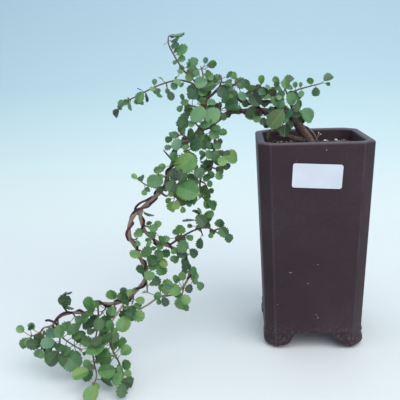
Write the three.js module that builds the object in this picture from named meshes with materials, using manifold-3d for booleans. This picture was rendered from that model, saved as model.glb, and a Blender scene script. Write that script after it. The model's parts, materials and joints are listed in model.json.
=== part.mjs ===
// A grewia bonsai in cascade style: a short trunk that tips over the rim of a tall square pot,
// a long wired cascade branch that forks, and leafy shoots all along it.
// Millimetres, +Z up. The plant is laid out in the pot's frame: the pot stands on Z = 0 with its
// centre at X = Y = 0 and its front toward -Y. The finished group is shifted so that the origin
// is the middle of the bounding box's underside.
import * as THREE from "three";
import { mergeVertices } from "three/addons/utils/BufferGeometryUtils.js";
import Module from "manifold-3d";

const wasm = await Module();
wasm.setup();

// Driving dimensions of the pot
const POT_WIDTH = 112;
const POT_FOOT_WIDTH = 97.4;
const POT_HEIGHT = 214.4;
const CHAMFER_TOP = 11.9;
const CHAMFER_FOOT = 9.9;
const WALL = 8;
const UNDERSIDE = 17.5;
const FLOOR = 9;
const DRAIN_RADIUS = 10;
const FOOT_BULGE = 1.4;
const LIP = 2.2;
const EDGE_FACET = 1.2;
const INNER_CORNER = 14;
const CORNER_STEPS = 2;
const INNER_FLOOR = UNDERSIDE + FLOOR;

// Clear space kept between neighbouring pieces
const GAP = 0.3;

// Sides of the wood, of green stems and of the wires
const WOOD_SIDES = 5;
const STEM_SIDES = 3;
const WIRE_SIDES = 3;

// Soil, wire and label
const SOIL_LEVEL = 202;
const SOIL_BUMP = 1.3;
const WIRE_RADIUS = 0.9;
const WIRE_PITCH = 20;
const WIRE_STEPS = 6;
const WIRE_STANDOFF = 1;
const WIRE_CLEARANCE = 0.42;
const LABEL_WIDTH = 47;
const LABEL_HEIGHT = 23.5;
const LABEL_THICKNESS = 0.5;
const LABEL_CORNER = 2.2;
const LABEL_TURN = -3;
const LABEL_MIDDLE = 182.6;

// Leaves: a round-ovate blade with a toothed edge, folded a little along its midrib
const BLADE_THICKNESS = 0.7;
const LEAST_BLADE = 9;
const BLADE_WIDTH = 0.92;
const PETIOLE = 1.8;
const FOLD = 0.24;
const TOOTH = 0.9;
const BASE_CURVE = 0.75;
const TIP_CURVE = 0.5;
const WIDEST = 0.4312;
const ROOM_EDGE = [[0.12, 0.5], [0.42, 0.97], [0.76, 0.97], [0.94, 0.6]];
const STEM_RADIUS = [0.95, 0.6];
const SPOTS = [0.35, 0.75];
const LEAF_ROOM = 0.55;
const GROUND_ROOM = 1.5;
const LIFTS = [0, 2, -2, 4, -4, 6, -6, 8, -8, 11, -11, 14, -14];
const ROLLS = [0, 25, -25, 50];
const DEPTH_SPREAD = 0.8;
const DEPTH_BIAS = 0.4;
const FACE_FRONT = 0.85;
const FACE_UP = 0.4;
const FACE_SPREAD = 0.7;
const SEED = 7;

// The point in front of the tree that its leaves turn their faces toward
const EYE = new THREE.Vector3(-72, -597, 296);
const UP = new THREE.Vector3(0, 0, 1);
const BACK = new THREE.Vector3(0, 1, 0);

// Woody limbs, each from its root to its tip: x, y, z, radius
const LIMBS = {
  cascade: [
    [3, 4, 168, 3.5], [1, 3, 196, 5.6], [-2, 2, 208, 5.2], [-9, 1, 219, 4.8], [-18, 0, 231, 4.4],
    [-29, -2, 238, 3.2], [-42, -4, 240, 2.7], [-56, -6, 242, 2.5], [-69, -8, 241, 2.4],
    [-81, -11, 241, 2.4], [-91, -13, 236, 2.3], [-102, -16, 228, 2.2], [-113, -20, 224, 2.1],
    [-123, -24, 215, 2.0], [-133, -27, 213, 1.9], [-137, -30, 204, 1.8], [-141, -33, 192, 1.8],
    [-145, -36, 181, 1.9], [-150, -40, 169, 2.0], [-161, -44, 160, 2.2], [-172, -47, 151, 2.3],
    [-180, -50, 144, 2.2], [-184, -52, 133, 2.1], [-183, -55, 123, 2.0], [-177, -58, 114, 2.0],
    [-172, -61, 102, 1.9], [-168, -64, 93, 1.9], [-168, -67, 85, 1.8], [-176, -71, 75, 1.8],
    [-187, -74, 66, 1.7], [-199, -77, 63, 1.7], [-214, -80, 64, 1.6], [-225, -84, 57, 1.5],
    [-239, -87, 58, 1.4], [-250, -90, 55, 1.3], [-258, -92, 47, 1.2], [-266, -93, 45, 1.0]
  ],
  right_limb: [
    [-172, -47, 151, 2.1], [-173, -45, 139, 1.9], [-169, -42, 125, 1.8], [-159, -39, 114, 1.7],
    [-146, -37, 108, 1.6], [-135, -37, 102, 1.5], [-128, -39, 92, 1.5], [-127, -43, 79, 1.4],
    [-134, -48, 67, 1.3], [-146, -52, 61, 1.2], [-156, -56, 61, 1.1], [-167, -60, 55, 1.0],
    [-178, -63, 49, 0.9]
  ],
  upper_limb: [
    [-19, 1, 232, 2.6], [-27, 4, 243, 2.2], [-38, 6, 248, 1.9], [-51, 6, 249, 1.7], [-63, 4, 247, 1.6],
    [-72, 2, 251, 1.4], [-78, 1, 259, 1.2], [-81, 0, 265, 1.0]
  ],
  crown: [
    [-102, -16, 228, 1.8], [-108, -15, 240, 1.7], [-106, -13, 253, 1.6], [-99, -11, 259, 1.4],
    [-92, -9, 266, 1.2]
  ],
  crown_left: [
    [-106, -13, 253, 1.3], [-111, -13, 265, 1.2], [-118, -12, 274, 1.0]
  ],
  dead_twig: [
    [-139, -32, 196, 1.1], [-144, -34, 202, 0.9], [-148, -36, 208, 0.7]
  ],
  stub: [
    [-153, -41, 167, 1.3], [-147, -43, 163, 1.1], [-142, -44, 165, 0.9]
  ],
  tan_twig: [
    [-185, -74, 68, 1.3], [-194, -80, 56, 1.2], [-200, -87, 48, 1.1], [-202, -97, 39, 1.0]
  ],
  trunk_shoot: [
    [-16, 1, 229, 1.6], [-20, 3, 244, 1.3], [-24, 4, 256, 1.1]
  ],
  root: [
    [-3, 2, 208, 3.4], [-16, -3, 211, 3.0], [-28, -6, 215, 2.6], [-38, -8, 210, 2.2],
    [-44, -9, 201, 1.5]
  ],
};

// Leafy shoots. A stem is a list of points x, y, z and starts inside the limb that bears it.
// A leaf is the place x, z of its blade in front view, its length and, where its blade is seen
// from the side, its turn in degrees.
const SHOOTS = [
  {
    name: "apex_shoot",
    stems: [
      [
        [-118, -12, 274], [-127, -13, 283], [-132, -14, 291], [-137, -14, 300], [-141, -13, 309],
        [-141, -12, 316]
      ],
    ],
    leaves: [
      [-133, 318, 14, 70], [-136, 313, 6], [-142, 310, 6, 60], [-135, 307, 9], [-129, 302, 13],
      [-129, 294, 9], [-135, 292, 5], [-126, 289, 7, 65], [-130, 284, 7], [-120, 283, 16],
      [-123, 277, 9], [-134, 278, 6, 60]
    ],
  },
  {
    name: "upper_left_shoot",
    stems: [
      [
        [-114, -13, 268], [-123, -14, 272], [-133, -15, 274], [-148, -16, 271], [-161, -18, 266],
        [-176, -20, 259], [-186, -22, 255], [-193, -23, 250]
      ],
    ],
    leaves: [
      [-128, 270, 6], [-137, 270, 9], [-147, 274, 6, 60], [-143, 266, 6], [-141, 262, 9],
      [-157, 272, 6], [-158, 264, 9], [-153, 261, 9, 60], [-171, 266, 6, 60], [-171, 258, 11],
      [-164, 259, 9, 60], [-179, 251, 9, 60], [-184, 257, 7], [-190, 255, 9], [-196, 245, 11]
    ],
  },
  {
    name: "crown_left_spray",
    stems: [
      [[-113, -13, 268], [-108, -14, 276], [-110, -15, 287]],
    ],
    leaves: [
      [-108, 291, 6], [-102, 290, 8, 60], [-102, 284, 8], [-103, 277, 10], [-116, 287, 5],
      [-113, 277, 7], [-115, 266, 14]
    ],
  },
  {
    name: "crown_spray",
    stems: [
      [[-92, -9, 266], [-90, -11, 273], [-92, -12, 278]],
    ],
    leaves: [
      [-102, 267, 16], [-98, 276, 15], [-86, 272, 13], [-82, 278, 8], [-93, 261, 12], [-108, 261, 11]
    ],
  },
  {
    name: "crown_middle_spray",
    stems: [
      [[-81, 0, 265], [-74, -2, 270], [-68, -4, 274]],
    ],
    leaves: [
      [-76, 276, 7], [-68, 269, 11], [-78, 260, 12], [-84, 264, 10], [-73, 259, 9]
    ],
  },
  {
    name: "crown_right_spray",
    stems: [
      [[-72, 2, 251], [-66, -1, 258], [-56, -3, 263], [-50, -4, 267]],
    ],
    leaves: [
      [-73, 255, 10], [-63, 264, 14], [-50, 271, 9], [-48, 261, 9], [-58, 253, 15], [-67, 247, 8],
      [-60, 245, 10], [-65, 256, 10], [-53, 254, 9]
    ],
  },
  {
    name: "crook_left_spray",
    stems: [
      [[-107, -14, 246], [-116, -17, 247], [-125, -19, 251], [-131, -20, 252]],
      [[-122, -18, 249], [-125, -21, 243]],
    ],
    leaves: [
      [-116, 256, 11], [-124, 259, 12], [-133, 256, 8], [-133, 248, 8], [-122, 245, 11],
      [-127, 238, 11], [-114, 238, 18], [-112, 251, 10], [-120, 242, 9]
    ],
  },
  {
    name: "crook_right_spray",
    stems: [
      [[-90, -13, 236], [-93, -15, 246], [-92, -16, 252]],
    ],
    leaves: [
      [-101, 239, 16], [-84, 246, 13], [-100, 251, 9], [-90, 257, 9], [-94, 238, 11], [-86, 253, 10],
      [-80, 245, 9]
    ],
  },
  {
    name: "crook_spray",
    stems: [
      [[-111, -19, 225], [-116, -22, 231], [-120, -24, 236]],
    ],
    leaves: [
      [-108, 230, 14], [-122, 231, 8], [-127, 236, 10], [-114, 234, 8], [-101, 226, 9], [-115, 224, 9]
    ],
  },
  {
    name: "limb_spray",
    stems: [
      [[-50, -5, 241], [-51, -9, 238], [-54, -12, 232]],
    ],
    leaves: [
      [-59, 235, 10], [-50, 244, 10], [-52, 228, 10], [-45, 234, 8], [-44, 239, 9], [-62, 241, 9]
    ],
  },
  {
    name: "limb_top_spray",
    stems: [
      [[-38, 6, 248], [-39, 3, 256], [-38, 1, 263]],
    ],
    leaves: [
      [-45, 254, 11], [-31, 255, 10], [-44, 263, 7], [-37, 268, 7], [-31, 262, 9], [-35, 249, 9],
      [-49, 259, 9]
    ],
  },
  {
    name: "trunk_front_spray",
    stems: [
      [[-25, -2, 235], [-31, -8, 237], [-35, -11, 240]],
      [[-28, -5, 237], [-25, -9, 232], [-24, -11, 227]],
      [[-33, -9, 238], [-37, -12, 229]],
    ],
    leaves: [
      [-37, 233, 20], [-40, 221, 10, 50], [-25, 223, 14], [-31, 245, 9], [-21, 233, 9], [-31, 230, 10],
      [-44, 228, 9]
    ],
  },
  {
    name: "trunk_top_spray",
    stems: [
      [[-24, 4, 256], [-27, 3, 263], [-30, 2, 269]],
    ],
    leaves: [
      [-25, 271, 9], [-34, 271, 9], [-22, 262, 7], [-30, 255, 8]
    ],
  },
  {
    name: "right_shoot",
    stems: [
      [[-22, 4, 250], [-19, 3, 257], [-14, 2, 260], [-7, 1, 262], [1, 0, 264], [10, -1, 266]],
    ],
    leaves: [
      [-15, 264, 6], [-9, 266, 5], [-9, 258, 6], [-15, 255, 8], [-2, 268, 9], [4, 260, 10],
      [14, 270, 12], [14, 263, 5]
    ],
  },
  {
    name: "trunk_right_spray",
    stems: [
      [[-20, 3, 244], [-15, -1, 243], [-11, -4, 240]],
    ],
    leaves: [
      [-18, 249, 12], [-12, 247, 9], [-19, 238, 13], [-6, 236, 16], [-13, 239, 10], [-23, 245, 9]
    ],
  },
  {
    name: "bend_left_spray",
    stems: [
      [[-123, -24, 215], [-129, -27, 221], [-136, -29, 220]],
    ],
    leaves: [
      [-131, 228, 10], [-123, 223, 13], [-138, 224, 8], [-136, 214, 12], [-144, 219, 8],
      [-128, 222, 9], [-116, 218, 10], [-126, 230, 9]
    ],
  },
  {
    name: "bend_under_spray",
    stems: [
      [[-131, -26, 213], [-128, -30, 207], [-123, -32, 206]],
    ],
    leaves: [
      [-119, 210, 14], [-126, 202, 8], [-135, 207, 8], [-113, 211, 9], [-129, 205, 10]
    ],
  },
  {
    name: "hanging_branch",
    stems: [
      [
        [-100, -16, 230, 1.6], [-98, -18, 218, 1.5], [-98, -21, 208, 1.4], [-100, -24, 197, 1.3],
        [-102, -27, 188, 1.2], [-110, -30, 183, 1.2], [-113, -32, 175, 1.1], [-113, -34, 166, 0.9],
        [-110, -38, 159, 0.7], [-106, -40, 156, 0.5]
      ],
      [[-100, -24, 198], [-94, -27, 198], [-90, -29, 196]],
      [[-99, -22, 203], [-104, -26, 203], [-106, -28, 199]],
      [[-102, -27, 188], [-96, -30, 186], [-94, -32, 182]],
      [[-109, -30, 184], [-114, -33, 186], [-119, -34, 185]],
      [[-113, -32, 175], [-108, -36, 173], [-105, -38, 168]],
      [[-113, -33, 169], [-117, -36, 167]],
    ],
    leaves: [
      [-93, 221, 10], [-104, 214, 12], [-109, 220, 10], [-101, 207, 9], [-109, 209, 8], [-85, 197, 17],
      [-96, 192, 8], [-104, 208, 7], [-108, 201, 9], [-107, 192, 10], [-92, 204, 9], [-92, 187, 9],
      [-94, 178, 11], [-103, 182, 8], [-111, 190, 8], [-117, 190, 8], [-123, 182, 9], [-107, 178, 9],
      [-103, 169, 11], [-118, 175, 11], [-120, 165, 10], [-116, 156, 6], [-103, 154, 13],
      [-109, 162, 9], [-97, 215, 9], [-91, 190, 9], [-112, 196, 9], [-100, 176, 9], [-112, 184, 9]
    ],
  },
  {
    name: "drop_upper_spray",
    stems: [
      [[-140, -33, 194], [-137, -38, 194], [-133, -41, 193]],
    ],
    leaves: [
      [-128, 198, 22], [-138, 186, 16], [-128, 186, 10], [-150, 189, 10], [-141, 204, 9],
      [-134, 195, 10], [-122, 193, 9]
    ],
  },
  {
    name: "drop_left_spray",
    stems: [
      [[-145, -36, 180], [-150, -39, 182], [-155, -41, 185]],
    ],
    leaves: [
      [-157, 180, 18], [-149, 191, 9], [-147, 184, 9]
    ],
  },
  {
    name: "low_left_spray",
    stems: [
      [[-150, -40, 170], [-158, -42, 172], [-165, -43, 174], [-171, -44, 178]],
    ],
    leaves: [
      [-153, 169, 8], [-175, 181, 6], [-170, 180, 9], [-168, 169, 7], [-162, 167, 7]
    ],
  },
  {
    name: "drop_right_spray",
    stems: [
      [[-147, -38, 174], [-141, -43, 175], [-137, -46, 174]],
    ],
    leaves: [
      [-130, 171, 24], [-123, 166, 10], [-136, 166, 10]
    ],
  },
  {
    name: "stub_spray",
    stems: [
      [[-142, -44, 165], [-136, -47, 162], [-131, -49, 160]],
    ],
    leaves: [
      [-125, 160, 13], [-131, 152, 6], [-140, 156, 12], [-147, 158, 6], [-133, 154, 9]
    ],
  },
  {
    name: "fork_spray",
    stems: [
      [[-171, -43, 133], [-165, -47, 132], [-160, -49, 131]],
    ],
    leaves: [
      [-166, 136, 7], [-157, 134, 10], [-166, 124, 10], [-156, 122, 11]
    ],
  },
  {
    name: "fork_left_spray",
    stems: [
      [[-182, -55, 123], [-178, -60, 123], [-174, -62, 125]],
    ],
    leaves: [
      [-173, 130, 9], [-178, 118, 7]
    ],
  },
  {
    name: "left_limb_spray",
    stems: [
      [[-176, -58, 112], [-170, -63, 112], [-165, -65, 110]],
    ],
    leaves: [
      [-179, 109, 12], [-164, 116, 8, 50], [-163, 107, 11], [-162, 101, 9]
    ],
  },
  {
    name: "right_limb_spray",
    stems: [
      [[-158, -39, 114], [-157, -43, 106], [-156, -45, 97]],
    ],
    leaves: [
      [-149, 104, 9, 50], [-156, 98, 15], [-154, 88, 12], [-162, 107, 6], [-151, 94, 9]
    ],
  },
  {
    name: "right_limb_low_spray",
    stems: [
      [[-139, -37, 104], [-138, -42, 101], [-135, -44, 98]],
    ],
    leaves: [
      [-138, 104, 13], [-130, 100, 12], [-133, 93, 8], [-145, 94, 8], [-142, 98, 9]
    ],
  },
  {
    name: "right_bend_spray",
    stems: [
      [[-127, -41, 84], [-123, -45, 83], [-121, -47, 78]],
    ],
    leaves: [
      [-128, 90, 12], [-119, 84, 10], [-117, 72, 11], [-126, 69, 9]
    ],
  },
  {
    name: "right_end_spray",
    stems: [
      [[-132, -46, 69], [-133, -50, 65], [-134, -52, 61]],
    ],
    leaves: [
      [-133, 76, 8], [-134, 54, 16]
    ],
  },
  {
    name: "right_inner_spray",
    stems: [
      [[-143, -51, 62], [-143, -54, 68], [-143, -55, 72]],
    ],
    leaves: [
      [-140, 79, 8], [-148, 71, 13]
    ],
  },
  {
    name: "side_twig",
    stems: [
      [
        [-147, -37, 109, 1.2], [-134, -38, 118, 1.1], [-120, -40, 126, 1.0], [-108, -41, 129, 0.9],
        [-100, -42, 126, 0.8], [-94, -43, 122, 0.6]
      ],
      [[-140, -37, 114], [-139, -41, 120]],
      [[-134, -38, 118], [-131, -42, 116], [-128, -44, 113]],
      [[-119, -40, 126], [-114, -43, 135], [-110, -45, 144]],
      [[-100, -42, 126], [-94, -45, 129], [-90, -46, 127]],
      [[-114, -41, 128], [-111, -45, 121]],
    ],
    leaves: [
      [-136, 126, 11], [-132, 112, 12], [-123, 106, 9], [-148, 117, 9], [-126, 118, 8],
      [-118, 142, 9, 40], [-115, 148, 8, 60], [-105, 144, 10, 50], [-103, 136, 8], [-111, 131, 14, 40],
      [-122, 133, 6], [-95, 134, 12], [-85, 121, 12], [-103, 122, 7], [-112, 116, 12, 60]
    ],
  },
  {
    name: "loop_spray",
    stems: [
      [[-168, -64, 91], [-164, -69, 91], [-162, -71, 88]],
    ],
    leaves: [
      [-171, 93, 12], [-161, 86, 12]
    ],
  },
  {
    name: "loop_low_spray",
    stems: [
      [[-167, -67, 85], [-166, -71, 78], [-166, -73, 72]],
    ],
    leaves: [
      [-161, 78, 8, 50], [-159, 71, 9], [-170, 76, 7]
    ],
  },
  {
    name: "right_tail_spray",
    stems: [
      [[-156, -56, 61], [-155, -60, 67]],
    ],
    leaves: [
      [-154, 72, 8], [-152, 57, 11]
    ],
  },
  {
    name: "curve_spray",
    stems: [
      [[-180, -72, 72], [-179, -78, 68], [-180, -80, 64]],
    ],
    leaves: [
      [-185, 74, 8], [-174, 68, 9], [-185, 68, 11], [-180, 60, 13], [-172, 62, 8, 50], [-191, 70, 9],
      [-177, 72, 9]
    ],
  },
  {
    name: "tan_twig_spray",
    stems: [
      [[-190, -77, 61], [-185, -83, 58], [-183, -85, 54]],
    ],
    leaves: [
      [-187, 48, 18], [-175, 53, 11]
    ],
  },
  {
    name: "left_middle_spray",
    stems: [
      [[-205, -78, 63], [-207, -81, 59], [-211, -82, 56]],
    ],
    leaves: [
      [-219, 64, 17], [-209, 51, 12], [-219, 51, 10], [-209, 64, 8], [-211, 57, 10]
    ],
  },
  {
    name: "left_middle_low_spray",
    stems: [
      [[-198, -77, 63], [-197, -83, 60]],
    ],
    leaves: [
      [-200, 70, 12], [-198, 57, 11]
    ],
  },
  {
    name: "hanging_shoot_left",
    stems: [
      [
        [-214, -80, 64], [-212, -90, 54], [-212, -102, 42], [-213, -114, 33], [-210, -124, 25],
        [-206, -133, 18], [-207, -142, 13]
      ],
    ],
    leaves: [
      [-219, 49, 13], [-216, 43, 11], [-206, 47, 15], [-211, 36, 19], [-207, 30, 16],
      [-202, 23, 16, 55], [-214, 25, 9], [-217, 20, 17], [-209, 7, 16], [-204, 41, 9], [-197, 14, 14],
      [-220, 41, 10], [-205, 33, 10], [-211, 21, 9], [-223, 59, 9]
    ],
  },
  {
    name: "hanging_shoot_right",
    stems: [
      [[-202, -97, 39], [-196, -110, 32], [-187, -122, 24], [-182, -131, 18], [-182, -137, 15]],
    ],
    leaves: [
      [-197, 49, 11], [-195, 41, 12], [-189, 34, 16], [-182, 32, 12], [-201, 27, 12], [-197, 23, 11],
      [-182, 24, 13, 50], [-189, 18, 15], [-184, 6, 14], [-175, 15, 12, 50], [-190, 28, 10],
      [-189, 21, 10], [-180, 21, 9], [-202, 19, 9]
    ],
  },
  {
    name: "tip_lower_spray",
    stems: [
      [[-252, -91, 53], [-249, -97, 40], [-238, -103, 34], [-225, -108, 29]],
      [[-249, -97, 40], [-248, -103, 33], [-246, -107, 27]],
    ],
    leaves: [
      [-248, 47, 13], [-231, 46, 16], [-225, 39, 15], [-237, 28, 10], [-238, 18, 18], [-248, 29, 12],
      [-254, 20, 15], [-257, 33, 12], [-223, 26, 4], [-242, 41, 10], [-236, 37, 9], [-221, 33, 9],
      [-244, 16, 9]
    ],
  },
  {
    name: "tip_spray",
    stems: [
      [[-266, -93, 45], [-271, -97, 40], [-278, -99, 39]],
      [[-269, -96, 42], [-264, -100, 36], [-264, -103, 29]],
    ],
    leaves: [
      [-260, 41, 12], [-271, 45, 9], [-283, 45, 8], [-276, 45, 7], [-281, 34, 10], [-272, 31, 12],
      [-267, 23, 10], [-257, 33, 8], [-261, 38, 10], [-276, 37, 9], [-265, 22, 9]
    ],
  },
  {
    name: "limb_end_spray",
    stems: [
      [[-238, -87, 58], [-234, -91, 55], [-231, -93, 52]],
    ],
    leaves: [
      [-228, 55, 13], [-240, 51, 6], [-224, 49, 10]
    ],
  },
  {
    name: "upright_shoot",
    stems: [
      [[-242, -88, 58], [-247, -90, 69], [-247, -91, 76], [-240, -92, 82]],
    ],
    leaves: [
      [-253, 74, 9], [-240, 74, 10], [-235, 83, 9, 50], [-240, 67, 8, 50]
    ],
  },
];

// Limbs that the training wires follow: limb, share of it where the wire starts and stops, and
// the angle in radians at which it starts
const WIRES = {
  training_wire_main: { limb: "cascade", from: 0.13, to: 0.985, phase: 0.6 },
  training_wire_side: { limb: "right_limb", from: 0.03, to: 0.62, phase: 3.4 },
};
const WIRE_IN_SOIL = [[8, 7, 172], [8, 7, 190], [8, 6, 202]];
const WIRE_TAIL = [[-266, -97, 51], [-262, -99, 53], [-256, -99, 51], [-252, -98, 47]];

const COLOURS = {
  clay: 0x4a3d42,
  soil: 0x3f3329,
  bark: 0x7c6250,
  wire: 0x3a2f38,
  paper: 0xf2f2f0,
  leaf: 0x4f7f3c,
};

function material(colour, roughness, metalness = 0) {
  return new THREE.MeshStandardMaterial({ color: colour, roughness, metalness });
}

// Solids

function toSolid(geometry) {
  const bare = geometry.clone();
  bare.deleteAttribute("normal");
  bare.deleteAttribute("uv");
  const merged = mergeVertices(bare, 1e-4);
  return new wasm.Manifold(new wasm.Mesh({
    numProp: 3,
    vertProperties: new Float32Array(merged.attributes.position.array),
    triVerts: new Uint32Array(merged.index.array),
  }));
}

function toGeometry(solid) {
  const mesh = solid.getMesh();
  const geometry = new THREE.BufferGeometry();
  geometry.setAttribute("position", new THREE.BufferAttribute(mesh.vertProperties, 3));
  geometry.setIndex(new THREE.BufferAttribute(mesh.triVerts, 1));
  geometry.computeVertexNormals();
  return geometry;
}

// A boolean can leave loose scraps: the largest body is the piece
function largestBody(solid) {
  const bodies = solid.decompose();
  bodies.sort((a, b) => b.volume() - a.volume());
  return bodies[0];
}

function geometryOf(positions, faces) {
  const geometry = new THREE.BufferGeometry();
  geometry.setAttribute("position", new THREE.Float32BufferAttribute(positions, 3));
  geometry.setIndex(faces);
  return geometry;
}

// A closed skin over rings of points that all have the same count, with flat ends
function skin(rings) {
  const count = rings[0].length;
  const positions = rings.flat().flatMap((point) => [point.x, point.y, point.z]);
  const faces = [];
  for (let row = 0; row < rings.length - 1; row += 1) {
    for (let k = 0; k < count; k += 1) {
      const a = row * count + k;
      const b = row * count + ((k + 1) % count);
      faces.push(a, b, b + count, a, b + count, a + count);
    }
  }
  const last = (rings.length - 1) * count;
  for (let k = 1; k < count - 1; k += 1) {
    faces.push(0, k + 1, k, last, last + k, last + k + 1);
  }
  return geometryOf(positions, faces);
}

// Curves

// Points along a smooth path, perSpan of them between two given points, each with its radius: that
// of the given points, or the plain taper of a green stem where they have none
function smoothPath(path, perSpan) {
  const knots = path.map(([x, y, z]) => new THREE.Vector3(x, y, z));
  const curve = new THREE.CatmullRomCurve3(knots, false, "catmullrom", 0.5);
  const spans = path.length - 1;
  const radii = path.map((entry, k) => (
    entry[3] ?? STEM_RADIUS[0] + (STEM_RADIUS[1] - STEM_RADIUS[0]) * (k / spans)
  ));
  return curve.getPoints(spans * perSpan).map((point, k) => {
    const low = Math.min(Math.floor(k / perSpan), spans - 1);
    const share = k / perSpan - low;
    return { point, radius: radii[low] * (1 - share) + radii[low + 1] * share };
  });
}

// The two directions across a path, found the same way at every point
function across(samples, k) {
  const before = samples[Math.max(k - 1, 0)].point;
  const after = samples[Math.min(k + 1, samples.length - 1)].point;
  const along = after.clone().sub(before).normalize();
  const side = along.clone().cross(BACK).normalize();
  const rise = along.clone().cross(side);
  return { along, side, rise };
}

function tube(samples, sides, extra = 0) {
  const rings = samples.map(({ point, radius }, k) => {
    const { side, rise } = across(samples, k);
    return Array.from({ length: sides }, (unused, n) => {
      const angle = (2 * Math.PI * n) / sides;
      return point.clone()
        .addScaledVector(side, Math.cos(angle) * (radius + extra))
        .addScaledVector(rise, Math.sin(angle) * (radius + extra));
    });
  });
  return toSolid(skin(rings));
}

// Pot

// Corners of the chamfered square at one height, going round, each with its edge broken by a facet
function chamferedSquare(half, chamfer, z) {
  const points = [];
  const slant = EDGE_FACET * Math.SQRT1_2;
  const side = half - chamfer;
  for (let quarter = 0; quarter < 4; quarter += 1) {
    const turn = (quarter * Math.PI) / 2;
    for (const [x, y] of [
      [half - slant, -side - slant], [half, -side + EDGE_FACET],
      [half, side - EDGE_FACET], [half - slant, side + slant],
    ]) {
      points.push(new THREE.Vector3(x, y, z).applyAxisAngle(UP, turn));
    }
  }
  return points;
}

function roundedSquare(half, corner, z) {
  const points = [];
  for (let quarter = 0; quarter < 4; quarter += 1) {
    for (let k = 0; k <= CORNER_STEPS; k += 1) {
      const angle = ((quarter + k / CORNER_STEPS) * Math.PI) / 2;
      const middle = new THREE.Vector3(half - corner, half - corner, z);
      middle.applyAxisAngle(UP, (quarter * Math.PI) / 2);
      middle.x += corner * Math.cos(angle);
      middle.y += corner * Math.sin(angle);
      points.push(middle);
    }
  }
  return points;
}

function potHalf(z) {
  return (POT_FOOT_WIDTH + ((POT_WIDTH - POT_FOOT_WIDTH) * z) / POT_HEIGHT) / 2;
}

function potChamfer(z) {
  return CHAMFER_FOOT + ((CHAMFER_TOP - CHAMFER_FOOT) * z) / POT_HEIGHT;
}

// The opening between two feet: flat above, then a sloping side, a low lobe and the knob of the foot
function archShape() {
  const shape = new THREE.Shape();
  shape.moveTo(-38, -5);
  shape.lineTo(-38, 0);
  shape.quadraticCurveTo(-35.5, 0.4, -35.5, 3.4);
  shape.quadraticCurveTo(-27, 3.2, -23.5, 9.2);
  shape.quadraticCurveTo(-21, 14.2, -17.5, UNDERSIDE);
  shape.lineTo(17.5, UNDERSIDE);
  shape.quadraticCurveTo(21, 14.2, 23.5, 9.2);
  shape.quadraticCurveTo(27, 3.2, 35.5, 3.4);
  shape.quadraticCurveTo(35.5, 0.4, 38, 0);
  shape.lineTo(38, -5);
  return shape;
}

// Half width of the pot's inside at one height
function innerHalf(z) {
  return potHalf(z) - WALL;
}

function makePot() {
  const body = [0, 4, 11, UNDERSIDE, UNDERSIDE + 2, POT_HEIGHT - LIP, POT_HEIGHT];
  const bulge = [-1.2, FOOT_BULGE, FOOT_BULGE, 0.4, 0, 0, -LIP];
  const outer = skin(body.map((z, k) => chamferedSquare(potHalf(z) + bulge[k], potChamfer(z), z)));
  const mouth = innerHalf(POT_HEIGHT);
  const inner = skin([
    roundedSquare(innerHalf(INNER_FLOOR), INNER_CORNER, INNER_FLOOR),
    roundedSquare(mouth, INNER_CORNER, POT_HEIGHT - LIP),
    roundedSquare(mouth + LIP, INNER_CORNER, POT_HEIGHT),
    roundedSquare(mouth + LIP, INNER_CORNER, POT_HEIGHT + 5),
  ]);
  const arch = new THREE.ExtrudeGeometry(archShape(), {
    depth: POT_WIDTH + 10,
    bevelEnabled: false,
    curveSegments: 2,
  });
  arch.translate(0, 0, -(POT_WIDTH + 10) / 2);
  arch.rotateX(Math.PI / 2);
  const turned = arch.clone().rotateZ(Math.PI / 2);
  const drain = new THREE.CylinderGeometry(DRAIN_RADIUS, DRAIN_RADIUS, 60, 12);
  drain.rotateX(Math.PI / 2);
  return toSolid(outer)
    .subtract(toSolid(inner))
    .subtract(toSolid(arch))
    .subtract(toSolid(turned))
    .subtract(toSolid(drain));
}

// Soil

function soilHeight(x, y) {
  return SOIL_LEVEL
    + SOIL_BUMP * Math.sin(0.11 * x + 1) * Math.cos(0.13 * y)
    + 0.5 * SOIL_BUMP * Math.sin(0.29 * x) * Math.sin(0.31 * y + 2);
}

function makeSoil() {
  const edge = roundedSquare(innerHalf(SOIL_LEVEL) - GAP, INNER_CORNER, SOIL_LEVEL);
  const shares = [1, 0.72, 0.44, 0.16];
  const top = shares.map((share) => edge.map((point) => {
    const x = point.x * share;
    const y = point.y * share;
    return new THREE.Vector3(x, y, soilHeight(x, y) - (share === 1 ? 1 : 0));
  }));
  const underside = roundedSquare(innerHalf(INNER_FLOOR) - GAP, INNER_CORNER, INNER_FLOOR + GAP);
  return toSolid(skin([underside, ...top]));
}

// Wood and wire

// The thick cascade has a point more between its given ones than the other limbs
const limbPaths = Object.values(LIMBS)
  .map((path) => smoothPath(path, path === LIMBS.cascade ? 2 : 1));

function makeWood(extra) {
  return limbPaths
    .map((samples) => tube(samples, WOOD_SIDES, extra))
    .reduce((all, limb) => all.add(limb));
}

// A helix at constant steps of length along a limb
function wireTurns({ limb, from, to, phase }) {
  const samples = smoothPath(LIMBS[limb], 8);
  const length = [0];
  for (let k = 1; k < samples.length; k += 1) {
    length.push(length[k - 1] + samples[k].point.distanceTo(samples[k - 1].point));
  }
  const total = length[length.length - 1];
  const step = WIRE_PITCH / WIRE_STEPS;
  const count = Math.floor(((to - from) * total) / step);
  const points = [];
  let k = 0;
  for (let n = 0; n <= count; n += 1) {
    const target = from * total + n * step;
    while (length[k + 1] < target) {
      k += 1;
    }
    const share = (target - length[k]) / (length[k + 1] - length[k]);
    const middle = samples[k].point.clone().lerp(samples[k + 1].point, share);
    const { side, rise } = across(samples, k);
    const reach = samples[k].radius + WIRE_RADIUS + WIRE_STANDOFF;
    const angle = phase + (2 * Math.PI * n) / WIRE_STEPS;
    middle.addScaledVector(side, Math.cos(angle) * reach);
    middle.addScaledVector(rise, Math.sin(angle) * reach);
    points.push(middle);
  }
  return points;
}

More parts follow.
